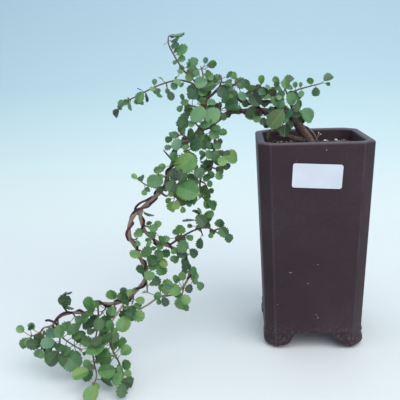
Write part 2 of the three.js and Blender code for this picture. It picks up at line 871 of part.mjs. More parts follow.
function wirePoints(name) {
  const turns = wireTurns(WIRES[name]);
  if (name !== "training_wire_main") {
    return turns;
  }
  const vectors = (list) => list.map((point) => new THREE.Vector3(...point));
  return [...vectors(WIRE_IN_SOIL), ...turns, ...vectors(WIRE_TAIL)];
}

function makeWire(points, radius) {
  const section = new THREE.Shape();
  for (let n = 0; n < WIRE_SIDES; n += 1) {
    const angle = (2 * Math.PI * n) / WIRE_SIDES;
    section[n ? "lineTo" : "moveTo"](radius * Math.cos(angle), radius * Math.sin(angle));
  }
  section.closePath();
  return toSolid(new THREE.ExtrudeGeometry(section, {
    steps: points.length - 1,
    extrudePath: new THREE.CatmullRomCurve3(points, false, "catmullrom", 0.5),
    bevelEnabled: false,
  }));
}

// Leaves

// A small seeded generator, so that every build grows the same tree
function generator(seed) {
  let state = seed;
  return () => {
    state = (state * 16807) % 2147483647;
    return state / 2147483647;
  };
}

// Half width of a blade at a share of its length: narrow at the base, round at the tip, and 1 where
// it is widest
function bladeOutline(share) {
  return (share ** BASE_CURVE * (1 - share) ** TIP_CURVE) / WIDEST;
}

function teethOn(length) {
  if (length < 10) {
    return 2;
  }
  return length < 14 ? 3 : 5;
}

// The spot on a shoot's stems nearest to a leaf's place in front view
function nearestSpot(stems, x, z) {
  let best = null;
  for (const samples of stems) {
    for (let k = 1; k < samples.length; k += 1) {
      for (const share of SPOTS) {
        const point = samples[k - 1].point.clone().lerp(samples[k].point, share);
        const away = Math.hypot(point.x - x, point.z - z);
        if ((k > 1 || share > 0.5) && (best === null || away < best.away)) {
          best = { away, point, along: samples[k].point.clone().sub(samples[k - 1].point).normalize() };
        }
      }
    }
  }
  return best;
}

// The frame of one leaf: its root, its petiole and the directions along, across and off its blade
function poseLeaf(spot, [x, z, length, turn = 0], lift, roll, draws) {
  const middle = new THREE.Vector3(x, spot.point.y, z);
  const sight = EYE.clone().sub(middle).normalize();
  middle.addScaledVector(sight, lift);
  const reach = middle.clone().sub(spot.point);
  const away = reach.length();
  const along = reach.addScaledVector(spot.along, Math.max(0, length / 2 - away)).normalize();
  const petiole = Math.max(PETIOLE, away - length / 2);
  const chance = new THREE.Vector3(draws[1] - 0.5, draws[2] - 0.5, draws[3] - 0.5);
  const off = sight.clone().multiplyScalar(FACE_FRONT)
    .addScaledVector(UP, FACE_UP)
    .addScaledVector(chance, FACE_SPREAD);
  off.addScaledVector(along, -off.dot(along));
  if (off.length() < 0.25) {
    off.copy(UP).addScaledVector(along, -UP.dot(along));
  }
  off.normalize();
  const side = along.clone().cross(off);
  const angle = ((turn + roll) * Math.PI) / 180;
  off.applyAxisAngle(along, angle);
  side.applyAxisAngle(along, angle);
  return { root: spot.point, along, side, off, petiole, length, half: (length * BLADE_WIDTH) / 2 };
}

function onLeaf(leaf, share, out, raise) {
  return leaf.root.clone()
    .addScaledVector(leaf.along, leaf.petiole + share * leaf.length)
    .addScaledVector(leaf.side, out)
    .addScaledVector(leaf.off, raise);
}

// Room that a leaf takes up, as points and the directions in which it is thin
function leafRoom(leaf) {
  const rise = leaf.half * FOLD;
  const points = [onLeaf(leaf, 0, 0, 0), onLeaf(leaf, 0.5, 0, 0), onLeaf(leaf, 1, 0, 0)];
  for (const hand of [-1, 1]) {
    for (const [share, out] of ROOM_EDGE) {
      points.push(onLeaf(leaf, share, hand * leaf.half * out, rise * out));
    }
  }
  const middle = onLeaf(leaf, 0.4, 0, 0);
  const bound = leaf.length * 0.65 + leaf.petiole;
  return { points, middle, bound, radius: LEAF_ROOM, axes: [leaf.off, leaf.side, leaf.along] };
}

function stretchRoom(a, b, radius) {
  const middle = a.clone().add(b).multiplyScalar(0.5);
  return { points: [a, b], middle, bound: a.distanceTo(b) / 2 + radius, radius, axes: [] };
}

function wallRoom(x0, y0, x1, y1) {
  const points = [0, POT_HEIGHT].flatMap((z) => [
    [x0, y0, z], [x1, y0, z], [x0, y1, z], [x1, y1, z],
  ]).map((corner) => new THREE.Vector3(...corner));
  const middle = points[0].clone().lerp(points[7], 0.5);
  const axes = [new THREE.Vector3(1, 0, 0), BACK, UP];
  return { points, middle, bound: POT_WIDTH * 2, radius: GAP, axes };
}

function span(points, axis) {
  const shares = points.map((point) => point.dot(axis));
  return [Math.min(...shares), Math.max(...shares)];
}

// Two rooms are clear of each other where some direction shows a space between them
function areClear(a, b) {
  const between = b.middle.clone().sub(a.middle);
  const away = between.length();
  if (away > a.bound + b.bound + a.radius + b.radius) {
    return true;
  }
  const need = a.radius + b.radius;
  return [...a.axes, ...b.axes, between.divideScalar(away)].some((axis) => {
    const [lowA, highA] = span(a.points, axis);
    const [lowB, highB] = span(b.points, axis);
    return lowA - highB > need || lowB - highA > need;
  });
}

// A leaf is lifted along the line of sight and rolled until it is clear of all obstacles
function findPose(spot, leaf, draws, obstacles) {
  const lift = (draws[0] - DEPTH_BIAS) * DEPTH_SPREAD * leaf[2];
  for (const roll of ROLLS) {
    for (const extra of LIFTS) {
      const pose = poseLeaf(spot, leaf, lift + extra, roll, draws);
      const room = leafRoom(pose);
      const low = Math.min(...room.points.map((point) => point.z));
      if (low > GROUND_ROOM && obstacles.every((obstacle) => areClear(room, obstacle))) {
        return { pose, room };
      }
    }
  }
  return null;
}

// Leaves stay clear of the wood, the wires, the other shoots and, where there is space, of the
// leaves of their own shoot
function growLeaves(shoots, fixedRooms) {
  const random = generator(SEED);
  for (const shoot of shoots) {
    shoot.grown = [];
    shoot.leafRooms = [];
  }
  for (const shoot of shoots) {
    const others = shoots.filter((other) => other !== shoot)
      .flatMap((other) => [...other.rooms, ...other.leafRooms]);
    const obstacles = [...fixedRooms, ...others];
    for (const leaf of shoot.leaves) {
      const spot = nearestSpot(shoot.samples, leaf[0], leaf[1]);
      const draws = [random(), random(), random(), random()];
      const found = findPose(spot, leaf, draws, [...obstacles, ...shoot.leafRooms])
        ?? findPose(spot, leaf, draws, obstacles);
      if (found !== null) {
        shoot.leafRooms.push(found.room);
        shoot.grown.push(found.pose);
      }
    }
  }
}

// The blade as one closed solid: a wedge from the stem, then a fan from the middle of the midrib
function leafSolid(leaf) {
  const teeth = teethOn(leaf.length);
  const rise = (out) => Math.abs(out) * FOLD;
  const edge = (hand) => Array.from({ length: teeth }, (unused, k) => {
    const share = (k + 0.75) / (teeth + 0.25);
    const notch = teeth > 3 && k % 2 ? TOOTH : 1;
    const out = hand * leaf.half * bladeOutline(share) * notch;
    return [share, out, rise(out)];
  });
  const tip = [1, 0, 0];
  const round = [...edge(1), tip, ...edge(-1).reverse()];
  const points = [[0.5, 0, 0], [-leaf.petiole / leaf.length, 0, 0], ...round];
  const positions = [];
  for (const level of [BLADE_THICKNESS / 2, -BLADE_THICKNESS / 2]) {
    for (const [share, out, raise] of points) {
      positions.push(...onLeaf(leaf, share, out, raise + level).toArray());
    }
  }
  const under = points.length;
  const [root, first, last] = [1, 2, under - 1];
  const faces = [root, first, last, under + root, under + last, under + first];
  for (let a = first; a <= last; a += 1) {
    const b = a === last ? first : a + 1;
    faces.push(0, a, b, under, under + b, under + a);
  }
  for (let a = root; a <= last; a += 1) {
    const b = a === last ? root : a + 1;
    faces.push(a, under + a, under + b, a, under + b, b);
  }
  return toSolid(geometryOf(positions, faces));
}

// Label

function labelShape() {
  const [w, h, r] = [LABEL_WIDTH / 2, LABEL_HEIGHT / 2, LABEL_CORNER];
  const shape = new THREE.Shape();
  shape.moveTo(-w + r, -h);
  shape.lineTo(w - r, -h);
  shape.absarc(w - r, -h + r, r, -Math.PI / 2, 0);
  shape.absarc(w - r, h - r, r, 0, Math.PI / 2);
  shape.absarc(-w + r, h - r, r, Math.PI / 2, Math.PI);
  shape.absarc(-w + r, -h + r, r, Math.PI, 1.5 * Math.PI);
  return shape;
}

function makeLabel() {
  const plate = new THREE.ExtrudeGeometry(labelShape(), {
    depth: LABEL_THICKNESS,
    bevelEnabled: false,
    curveSegments: 3,
  });
  const slope = Math.atan((POT_WIDTH - POT_FOOT_WIDTH) / 2 / POT_HEIGHT);
  plate.rotateZ((LABEL_TURN * Math.PI) / 180);
  plate.translate(0, 0, GAP);
  plate.rotateX(Math.PI / 2 + slope);
  plate.translate(0, -potHalf(LABEL_MIDDLE), LABEL_MIDDLE);
  return toSolid(plate);
}

// Assembly

const bark = material(COLOURS.bark, 0.85);
const wireFinish = material(COLOURS.wire, 0.45, 0.6);
const leafFinish = material(COLOURS.leaf, 0.6);

const wireNames = Object.keys(WIRES);
const wireRuns = wireNames.map(wirePoints);
const wires = wireRuns.map((points) => makeWire(points, WIRE_RADIUS));
const wireHoles = wireRuns
  .map((points) => makeWire(points, WIRE_RADIUS + WIRE_CLEARANCE))
  .reduce((all, wire) => all.add(wire));
const wood = makeWood(0);
const woodHole = makeWood(GAP);

for (const shoot of SHOOTS) {
  shoot.samples = shoot.stems.map((stem) => smoothPath(stem, 1));
  shoot.rooms = shoot.samples.flatMap((samples) => samples.slice(1).map((sample, k) => (
    stretchRoom(samples[k].point, sample.point, sample.radius + 0.1)
  )));
}
const woodRooms = limbPaths.flatMap((samples) => samples.slice(1).map((sample, k) => (
  stretchRoom(samples[k].point, sample.point, sample.radius)
)));
const wireRooms = wireRuns.flatMap((points) => points.slice(1).map((point, k) => (
  stretchRoom(points[k], point, WIRE_RADIUS)
)));
const potEdge = POT_WIDTH / 2;
const potInside = potEdge - WALL - 1;
const wallRooms = [
  wallRoom(-potEdge, -potEdge, -potInside, potEdge),
  wallRoom(potInside, -potEdge, potEdge, potEdge),
  wallRoom(-potEdge, -potEdge, potEdge, -potInside),
  wallRoom(-potEdge, potInside, potEdge, potEdge),
];
growLeaves(SHOOTS, [...woodRooms, ...wireRooms, ...wallRooms]);

function makeShoot(shoot) {
  const stems = shoot.samples.map((samples) => tube(samples, STEM_SIDES));
  const blades = shoot.grown.filter((pose) => pose.length >= LEAST_BLADE).map(leafSolid);
  const all = [...stems, ...blades].reduce((sum, piece) => sum.add(piece));
  return largestBody(all.subtract(woodHole).subtract(wireHoles));
}

const pieces = [
  ["pot", makePot(), material(COLOURS.clay, 0.7)],
  ["soil", makeSoil().subtract(woodHole).subtract(wireHoles), material(COLOURS.soil, 0.95)],
  ["trunk_and_branches", wood.subtract(wireHoles), bark],
  ...wireNames.map((name, k) => [name, wires[k], wireFinish]),
  ["label", makeLabel(), material(COLOURS.paper, 0.5)],
  ...SHOOTS.map((shoot) => [shoot.name, makeShoot(shoot), leafFinish]),
];

const group = new THREE.Group();
for (const [name, solid, finish] of pieces) {
  const mesh = new THREE.Mesh(toGeometry(largestBody(solid)), finish);
  mesh.name = name;
  group.add(mesh);
}
const bounds = new THREE.Box3().setFromObject(group);
const middle = bounds.getCenter(new THREE.Vector3());
group.position.set(-middle.x, -middle.y, -bounds.min.z);

export default group;
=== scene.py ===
import json
import math

import bmesh
import bpy
import numpy as np
from mathutils import Matrix, Vector, kdtree, noise

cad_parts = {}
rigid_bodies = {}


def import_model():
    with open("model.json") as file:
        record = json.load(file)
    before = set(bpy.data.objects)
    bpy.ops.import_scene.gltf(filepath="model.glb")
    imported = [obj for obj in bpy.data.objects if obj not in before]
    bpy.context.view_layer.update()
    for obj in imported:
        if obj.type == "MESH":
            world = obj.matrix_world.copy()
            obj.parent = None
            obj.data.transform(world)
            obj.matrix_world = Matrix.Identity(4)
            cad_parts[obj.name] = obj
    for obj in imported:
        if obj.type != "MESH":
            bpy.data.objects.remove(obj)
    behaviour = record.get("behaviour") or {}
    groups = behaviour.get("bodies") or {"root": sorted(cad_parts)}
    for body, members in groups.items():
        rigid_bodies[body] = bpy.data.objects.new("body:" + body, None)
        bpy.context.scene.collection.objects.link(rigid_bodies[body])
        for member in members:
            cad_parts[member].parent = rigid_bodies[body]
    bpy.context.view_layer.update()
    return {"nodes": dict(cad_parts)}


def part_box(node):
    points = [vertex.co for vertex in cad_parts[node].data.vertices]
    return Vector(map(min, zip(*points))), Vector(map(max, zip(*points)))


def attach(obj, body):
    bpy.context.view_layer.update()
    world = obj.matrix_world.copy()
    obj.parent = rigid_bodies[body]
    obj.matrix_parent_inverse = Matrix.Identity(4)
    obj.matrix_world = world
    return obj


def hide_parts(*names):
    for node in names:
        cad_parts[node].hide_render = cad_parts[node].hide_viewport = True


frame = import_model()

# Grewia bonsai in cascade style. Lists are in millimetres in the pot's frame: the pot's centre is
# X = Y = 0, its front faces -Y and its feet stand on Z = 0. Only finished meshes are in metres.
potLow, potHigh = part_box("pot")
potPlace = np.array([(potLow.x + potHigh.x) / 2, (potLow.y + potHigh.y) / 2, 0.0])
up = np.array([0.0, 0.0, 1.0])
back = np.array([0.0, 1.0, 0.0])


def toMetres(points):
    return np.asarray(points, float).reshape(-1, 3) * 0.001 + potPlace


# Woody limbs, from root to tip: x, y, z, radius
limbPoints = {
    "cascade": [(3, 4, 168, 3.5), (1, 3, 196, 5.6), (-2, 2, 208, 5.2), (-9, 1, 219, 4.8), (-18, 0, 231, 4.4),
        (-29, -2, 238, 3.2), (-42, -4, 240, 2.7), (-56, -6, 242, 2.5), (-69, -8, 241, 2.4), (-81, -11, 241, 2.4),
        (-91, -13, 236, 2.3), (-102, -16, 228, 2.2), (-113, -20, 224, 2.1), (-123, -24, 215, 2),
        (-133, -27, 213, 1.9), (-137, -30, 204, 1.8), (-141, -33, 192, 1.8), (-145, -36, 181, 1.9),
        (-150, -40, 169, 2), (-161, -44, 160, 2.2), (-172, -47, 151, 2.3), (-180, -50, 144, 2.2),
        (-184, -52, 133, 2.1), (-183, -55, 123, 2), (-177, -58, 114, 2), (-172, -61, 102, 1.9), (-168, -64, 93, 1.9),
        (-168, -67, 85, 1.8), (-176, -71, 75, 1.8), (-187, -74, 66, 1.7), (-199, -77, 63, 1.7), (-214, -80, 64, 1.6),
        (-225, -84, 57, 1.5), (-239, -87, 58, 1.4), (-250, -90, 55, 1.3), (-258, -92, 47, 1.2), (-266, -93, 45, 1)],
    "right_limb": [(-172, -47, 151, 2.1), (-173, -45, 139, 1.9), (-169, -42, 125, 1.8), (-159, -39, 114, 1.7),
        (-146, -37, 108, 1.6), (-135, -37, 102, 1.5), (-128, -39, 92, 1.5), (-127, -43, 79, 1.4),
        (-134, -48, 67, 1.3), (-146, -52, 61, 1.2), (-156, -56, 61, 1.1), (-167, -60, 55, 1), (-178, -63, 49, 0.9)],
    "upper_limb": [(-19, 1, 232, 2.6), (-27, 4, 243, 2.2), (-38, 6, 248, 1.9), (-51, 6, 249, 1.7), (-63, 4, 247, 1.6),
        (-72, 2, 251, 1.4), (-78, 1, 259, 1.2), (-81, 0, 265, 1)],
    "crown": [(-102, -16, 228, 1.8), (-108, -15, 240, 1.7), (-106, -13, 253, 1.6), (-99, -11, 259, 1.4),
        (-92, -9, 266, 1.2)],
    "crown_left": [(-106, -13, 253, 1.3), (-111, -13, 265, 1.2), (-118, -12, 274, 1)],
    "dead_twig": [(-139, -32, 196, 1.1), (-144, -34, 202, 0.9), (-148, -36, 208, 0.7)],
    "stub": [(-153, -41, 167, 1.3), (-147, -43, 163, 1.1), (-142, -44, 165, 0.9)],
    "tan_twig": [(-185, -74, 68, 1.3), (-194, -80, 56, 1.2), (-200, -87, 48, 1.1), (-202, -97, 39, 1)],
    "trunk_shoot": [(-16, 1, 229, 1.6), (-20, 3, 244, 1.3), (-24, 4, 256, 1.1)],
    "root": [(-3, 2, 208, 3.4), (-16, -3, 211, 3), (-28, -6, 215, 2.6), (-38, -8, 210, 2.2), (-44, -9, 201, 1.5)],
}
# Leafy shoots. For each: its stems from root to tip (x, y, z); its leaves as seen from the front (x, z, length and,
# where given, a roll in degrees); and small moves of the leaves that grew, then of those that fill it out (along x,
# along z and, where given, one step of size up or down), with 0 for a leaf that stays
shootPoints = {
    "apex_shoot": ([[(-118, -12, 274), (-127, -13, 283), (-132, -14, 291), (-137, -14, 300), (-141, -13, 309),
          (-141, -12, 316)]],
        [(-133, 318, 14, 70), (-136, 313, 6), (-142, 310, 6, 60), (-135, 307, 9), (-129, 302, 13), (-129, 294, 9),
         (-135, 292, 5), (-126, 289, 7, 65), (-130, 284, 7), (-120, 283, 16), (-123, 277, 9), (-134, 278, 6, 60)],
        [(-1, -4, -1), (-1, 3, -1), 0, 0, (1, 0), 0, 0, (3, -1, 1), (1, -1), (1, 0, -1), 0, (-1, -3), (0, -2, 1),
         (-1, 0), (1, -1, 1)]),
    "upper_left_shoot": ([[(-114, -13, 268), (-123, -14, 272), (-133, -15, 274), (-148, -16, 271), (-161, -18, 266),
          (-176, -20, 259), (-186, -22, 255), (-193, -23, 250)]],
        [(-128, 270, 6), (-137, 270, 9), (-147, 274, 6, 60), (-143, 266, 6), (-141, 262, 9), (-157, 272, 6),
         (-158, 264, 9), (-153, 261, 9, 60), (-171, 266, 6, 60), (-171, 258, 11), (-164, 259, 9, 60),
         (-179, 251, 9, 60), (-184, 257, 7), (-190, 255, 9), (-196, 245, 11)],
        [(-1, 0, -1), (0, 1, -1), (-2, 1, -1), (-1, -2, -1), (0, -3), (1, 1), (4, 1, -1), (1, 0, -1), 0, 0, (0, 0, 1),
         (-2, -1, -1), (4, -1, -1), (3, -2, -1), (1, -1, -1), (0, -1), (0, -1), (2, -1, 1), (-1, -2), (3, -2, 1),
         (0, -1, -1)]),
    "crown_left_spray": ([[(-113, -13, 268), (-108, -14, 276), (-110, -15, 287)]],
        [(-108, 291, 6), (-102, 290, 8, 60), (-102, 284, 8), (-103, 277, 10), (-116, 287, 5), (-113, 277, 7),
         (-115, 266, 14)],
        [(3, 1), (4, -1), (2, 3), 0, (-2, -1), (-1, 3), (-2, 0, 1), (2, -1, 1), (2, -3, 1)]),
    "crown_spray": ([[(-92, -9, 266), (-90, -11, 273), (-92, -12, 278)]],
        [(-102, 267, 16), (-98, 276, 15), (-86, 272, 13), (-82, 278, 8), (-93, 261, 12), (-108, 261, 11)],
        [(-1, 0), (-1, -4), (0, -2, -1), (0, -1, 1), (4, 1, 1), (0, 1), (-4, 0), (-3, 1, 1)]),
    "crown_middle_spray": ([[(-81, 0, 265), (-74, -2, 270), (-68, -4, 274)]],
        [(-76, 276, 7), (-68, 269, 11), (-78, 260, 12), (-84, 264, 10), (-73, 259, 9)],
        [(-2, 0, 1), (1, 1, -1), (-1, -4, 1), (1, -1, 1), (3, -3, 1), (2, 0, 1), (0, 0, 1)]),
    "crown_right_spray": ([[(-72, 2, 251), (-66, -1, 258), (-56, -3, 263), (-50, -4, 267)]],
        [(-73, 255, 10), (-63, 264, 14), (-50, 271, 9), (-48, 261, 9), (-58, 253, 15), (-67, 247, 8), (-60, 245, 10),
         (-65, 256, 10), (-53, 254, 9)],
        [(-3, -3, 1), (1, -1), 0, (0, -1, 1), (1, -1), (0, 2, 1), (-1, -4, 1), 0, (0, 0, 1), (0, -1), (-1, 0, 1)]),
    "crook_left_spray": ([[(-107, -14, 246), (-116, -17, 247), (-125, -19, 251), (-131, -20, 252)],
         [(-122, -18, 249), (-125, -21, 243)]],
        [(-116, 256, 11), (-124, 259, 12), (-133, 256, 8), (-133, 248, 8), (-122, 245, 11), (-127, 238, 11),
         (-114, 238, 18), (-112, 251, 10), (-120, 242, 9)],
        [(-1, 3, -1), (4, 1, -1), (4, 1, -1), (2, -1, -1), (0, 3, 1), 0, (1, -2, 1), (3, 2, -1), (1, -1, 1),
         (1, -4, 1), (1, -4, 1), (0, 0, 1), (2, 0, 1)]),
    "crook_right_spray": ([[(-90, -13, 236), (-93, -15, 246), (-92, -16, 252)]],
        [(-101, 239, 16), (-84, 246, 13), (-100, 251, 9), (-90, 257, 9), (-94, 238, 11), (-86, 253, 10),
         (-80, 245, 9)],
        [(0, -1), (3, 2, 1), 0, (3, 0, -1), 0, (0, 0, 1), (4, -1, 1), (-1, -1), (0, -1, 1), (1, -1, 1), (0, 1, 1)]),
    "crook_spray": ([[(-111, -19, 225), (-116, -22, 231), (-120, -24, 236)]],
        [(-108, 230, 14), (-122, 231, 8), (-127, 236, 10), (-114, 234, 8), (-101, 226, 9), (-115, 224, 9)],
        [(1, 0), (2, 0, -1), (-4, -1, -1), (1, 0, 1), (4, 0, 1), (3, -2, -1), (1, 1, 1)]),
    "limb_spray": ([[(-50, -5, 241), (-51, -9, 238), (-54, -12, 232)]],
        [(-59, 235, 10), (-50, 244, 10), (-52, 228, 10), (-45, 234, 8), (-44, 239, 9), (-62, 241, 9)],
        [(-2, 2, 1), (3, 3, 1), (3, 3, -1), (4, 1, -1), (3, 2), (1, -3, 1), (0, 1, 1), (-2, 0, 1)]),
    "limb_top_spray": ([[(-38, 6, 248), (-39, 3, 256), (-38, 1, 263)]],
        [(-45, 254, 11), (-31, 255, 10), (-44, 263, 7), (-37, 268, 7), (-31, 262, 9), (-35, 249, 9), (-49, 259, 9)],
        [0, 0, (1, 0, 1), (2, -2, -1), (-3, 0), (3, -2), (0, 0, 1), (0, -2, 1), 0]),
    "trunk_front_spray": ([[(-25, -2, 235), (-31, -8, 237), (-35, -11, 240)],
         [(-28, -5, 237), (-25, -9, 232), (-24, -11, 227)],
         [(-33, -9, 238), (-37, -12, 229)]],
        [(-37, 233, 20), (-40, 221, 10, 50), (-25, 223, 14), (-31, 245, 9), (-21, 233, 9), (-31, 230, 10),
         (-44, 228, 9)],
        [(1, 2), (-3, -3, 1), (-2, 0), (-1, 1, 1), (-3, 3, 1), (2, 3, 1), (0, 0, 1), (0, 0, 1), (0, 2, 1),
         (-2, 0, 1)]),
    "trunk_top_spray": ([[(-24, 4, 256), (-27, 3, 263), (-30, 2, 269)]],
        [(-25, 271, 9), (-34, 271, 9), (-22, 262, 7), (-30, 255, 8)],
        [(2, -1, 1), (-1, -1, -1), 0, (-2, -2, -1), (0, -1), (0, 0, 1)]),
    "right_shoot": ([[(-22, 4, 250), (-19, 3, 257), (-14, 2, 260), (-7, 1, 262), (1, 0, 264), (10, -1, 266)]],
        [(-15, 264, 6), (-9, 266, 5), (-9, 258, 6), (-15, 255, 8), (-2, 268, 9), (4, 260, 10), (14, 270, 12),
         (14, 263, 5)],
        [(-1, 1), (-2, -1), (-1, -1, 1), 0, (1, 0, -1), (0, 0, -1), (2, 1, -1), (2, 2, -1), (0, -3, 1)]),
    "trunk_right_spray": ([[(-20, 3, 244), (-15, -1, 243), (-11, -4, 240)]],
        [(-18, 249, 12), (-12, 247, 9), (-19, 238, 13), (-6, 236, 16), (-13, 239, 10), (-23, 245, 9)],
        [(-2, 1, 1), (0, -1), (-2, 0), 0, (-4, 0, 1), (0, -3, -1), (0, -1, 1), (-1, 0, 1)]),
    "bend_left_spray": ([[(-123, -24, 215), (-129, -27, 221), (-136, -29, 220)]],
        [(-131, 228, 10), (-123, 223, 13), (-138, 224, 8), (-136, 214, 12), (-144, 219, 8), (-128, 222, 9),
         (-116, 218, 10), (-126, 230, 9)],
        [(1, 3, 1), (1, -3, 1), (-2, -3, -1), (1, -1), (1, -2), 0, (3, 0), (0, 1, 1), (0, -1, 1), (0, 1)]),
    "bend_under_spray": ([[(-131, -26, 213), (-128, -30, 207), (-123, -32, 206)]],
        [(-119, 210, 14), (-126, 202, 8), (-135, 207, 8), (-113, 211, 9), (-129, 205, 10)],
        [(2, 1, 1), (1, -1, 1), (0, 1, -1), (0, 0, 1), (4, -1, -1), (0, -4, 1), (-1, -1, -1), (-1, 0, 1)]),
    "hanging_branch": ([[(-100, -16, 230, 1.6), (-98, -18, 218, 1.5), (-98, -21, 208, 1.4), (-100, -24, 197, 1.3),
          (-102, -27, 188, 1.2), (-110, -30, 183, 1.2), (-113, -32, 175, 1.1), (-113, -34, 166, 0.9),
          (-110, -38, 159, 0.7), (-106, -40, 156, 0.5)],
         [(-100, -24, 198), (-94, -27, 198), (-90, -29, 196)],
         [(-99, -22, 203), (-104, -26, 203), (-106, -28, 199)],
         [(-102, -27, 188), (-96, -30, 186), (-94, -32, 182)],
         [(-109, -30, 184), (-114, -33, 186), (-119, -34, 185)],
         [(-113, -32, 175), (-108, -36, 173), (-105, -38, 168)],
         [(-113, -33, 169), (-117, -36, 167)]],
        [(-93, 221, 10), (-104, 214, 12), (-109, 220, 10), (-101, 207, 9), (-109, 209, 8), (-85, 197, 17),
         (-96, 192, 8), (-104, 208, 7), (-108, 201, 9), (-107, 192, 10), (-92, 204, 9), (-92, 187, 9), (-94, 178, 11),
         (-103, 182, 8), (-111, 190, 8), (-117, 190, 8), (-123, 182, 9), (-107, 178, 9), (-103, 169, 11),
         (-118, 175, 11), (-120, 165, 10), (-116, 156, 6), (-103, 154, 13), (-109, 162, 9), (-97, 215, 9),
         (-91, 190, 9), (-112, 196, 9), (-100, 176, 9), (-112, 184, 9)],
        [(1, 0), (-1, 1), (-4, 0, 1), 0, 0, (-1, 2, -1), 0, (0, 1), (1, 2, -1), (0, 0, 1), (0, -4, 1), (1, 2),
         (0, 4, -1), 0, (2, -2, 1), (0, -1, -1), (1, -2, -1), 0, (-2, -3, -1), 0, (1, -3, 1), (-3, -2), (0, -1, -1),
         0, 0, (4, -1, 1), (2, 2, -1), (-3, -3, -1), 0, 0, (0, -2), (3, 0, 1), (0, -1), (0, -1), (2, -1, 1), (2, 0),
         (2, -3, 1), (1, -1), (0, 0, 1), (3, 0), (-1, -2, 1), (2, -2, -1), (0, -1, 1)]),
    "drop_upper_spray": ([[(-140, -33, 194), (-137, -38, 194), (-133, -41, 193)]],
        [(-128, 198, 22), (-138, 186, 16), (-128, 186, 10), (-150, 189, 10), (-141, 204, 9), (-134, 195, 10),
         (-122, 193, 9)],
        [(1, -1, -1), (1, -1, -1), (0, 0, 1), (-4, -1, -1), (3, -3, 1), (-2, -2), (0, 0, 1)]),
    "drop_left_spray": ([[(-145, -36, 180), (-150, -39, 182), (-155, -41, 185)]],
        [(-157, 180, 18), (-149, 191, 9), (-147, 184, 9)],
        [(2, -2, -1), (-1, -1, 1), (3, -2, 1), (-2, 0, 1)]),
    "low_left_spray": ([[(-150, -40, 170), (-158, -42, 172), (-165, -43, 174), (-171, -44, 178)]],
        [(-153, 169, 8), (-175, 181, 6), (-170, 180, 9), (-168, 169, 7), (-162, 167, 7)],
        [(0, 0, 1), (-2, 2, 1), 0, (0, -2, -1), (-3, 3), (0, -1, 1), (2, 0, 1)]),
    "drop_right_spray": ([[(-147, -38, 174), (-141, -43, 175), (-137, -46, 174)]],
        [(-130, 171, 24), (-123, 166, 10), (-136, 166, 10)],
        [0, (0, 0, 1), (0, 1, 1), (1, -1, 1), (2, 0, 1)]),
    "stub_spray": ([[(-142, -44, 165), (-136, -47, 162), (-131, -49, 160)]],
        [(-125, 160, 13), (-131, 152, 6), (-140, 156, 12), (-147, 158, 6), (-133, 154, 9)],
        [(2, 0, 1), (1, -2, 1), (-1, -3), (3, 1, 1), (-3, 1), (0, 0, 1), (0, 0, 1), (2, -1, 1)]),
    "fork_spray": ([[(-171, -43, 133), (-165, -47, 132), (-160, -49, 131)]],
        [(-166, 136, 7), (-157, 134, 10), (-166, 124, 10), (-156, 122, 11)],
        [(1, 0), (0, 0, -1), (4, 1, -1), (3, -3, -1), (2, 0)]),
    "fork_left_spray": ([[(-182, -55, 123), (-178, -60, 123), (-174, -62, 125)]],
        [(-173, 130, 9), (-178, 118, 7)],
        [0, (3, 1, -1), (2, 2, -1)]),
    "left_limb_spray": ([[(-176, -58, 112), (-170, -63, 112), (-165, -65, 110)]],
        [(-179, 109, 12), (-164, 116, 8, 50), (-163, 107, 11), (-162, 101, 9)],
        [(2, -1, 1), (0, 4), (1, -2, 1), (1, -3, 1), (3, 0, 1)]),
    "right_limb_spray": ([[(-158, -39, 114), (-157, -43, 106), (-156, -45, 97)]],
        [(-149, 104, 9, 50), (-156, 98, 15), (-154, 88, 12), (-162, 107, 6), (-151, 94, 9)],
        [(-1, -1, 1), 0, (-1, -2), (0, 1, -1), (-2, -2), (1, 0), (-1, 1, 1), 0, (-1, 0, 1)]),
    "right_limb_low_spray": ([[(-139, -37, 104), (-138, -42, 101), (-135, -44, 98)]],
        [(-138, 104, 13), (-130, 100, 12), (-133, 93, 8), (-145, 94, 8), (-142, 98, 9)],
        [(3, 2), (4, 1, 1), (2, 0, 1), (3, 3, -1), (3, -2, -1), (0, 1)]),
    "right_bend_spray": ([[(-127, -41, 84), (-123, -45, 83), (-121, -47, 78)]],
        [(-128, 90, 12), (-119, 84, 10), (-117, 72, 11), (-126, 69, 9)],
        [(-1, -1), (-4, -1), (1, -3, -1), (-1, -3), (4, -1), (0, 0, 1), (1, 0, 1)]),
    "right_end_spray": ([[(-132, -46, 69), (-133, -50, 65), (-134, -52, 61)]],
        [(-133, 76, 8), (-134, 54, 16)],
        [(0, 4, 1), (0, -2, 1), (0, -2, 1), (-1, 3, 1), (-1, 0)]),
    "right_inner_spray": ([[(-143, -51, 62), (-143, -54, 68), (-143, -55, 72)]],
        [(-140, 79, 8), (-148, 71, 13)],
        [(1, 0, 1), (2, 3, -1), (0, 0, 1), (-1, -1, 1)]),
    "side_twig": ([[(-147, -37, 109, 1.2), (-134, -38, 118, 1.1), (-120, -40, 126, 1), (-108, -41, 129, 0.9),
          (-100, -42, 126, 0.8), (-94, -43, 122, 0.6)],
         [(-140, -37, 114), (-139, -41, 120)],
         [(-134, -38, 118), (-131, -42, 116), (-128, -44, 113)],
         [(-119, -40, 126), (-114, -43, 135), (-110, -45, 144)],
         [(-100, -42, 126), (-94, -45, 129), (-90, -46, 127)],
         [(-114, -41, 128), (-111, -45, 121)]],
        [(-136, 126, 11), (-132, 112, 12), (-123, 106, 9), (-148, 117, 9), (-126, 118, 8), (-118, 142, 9, 40),
         (-115, 148, 8, 60), (-105, 144, 10, 50), (-103, 136, 8), (-111, 131, 14, 40), (-122, 133, 6), (-95, 134, 12),
         (-85, 121, 12), (-103, 122, 7), (-112, 116, 12, 60)],
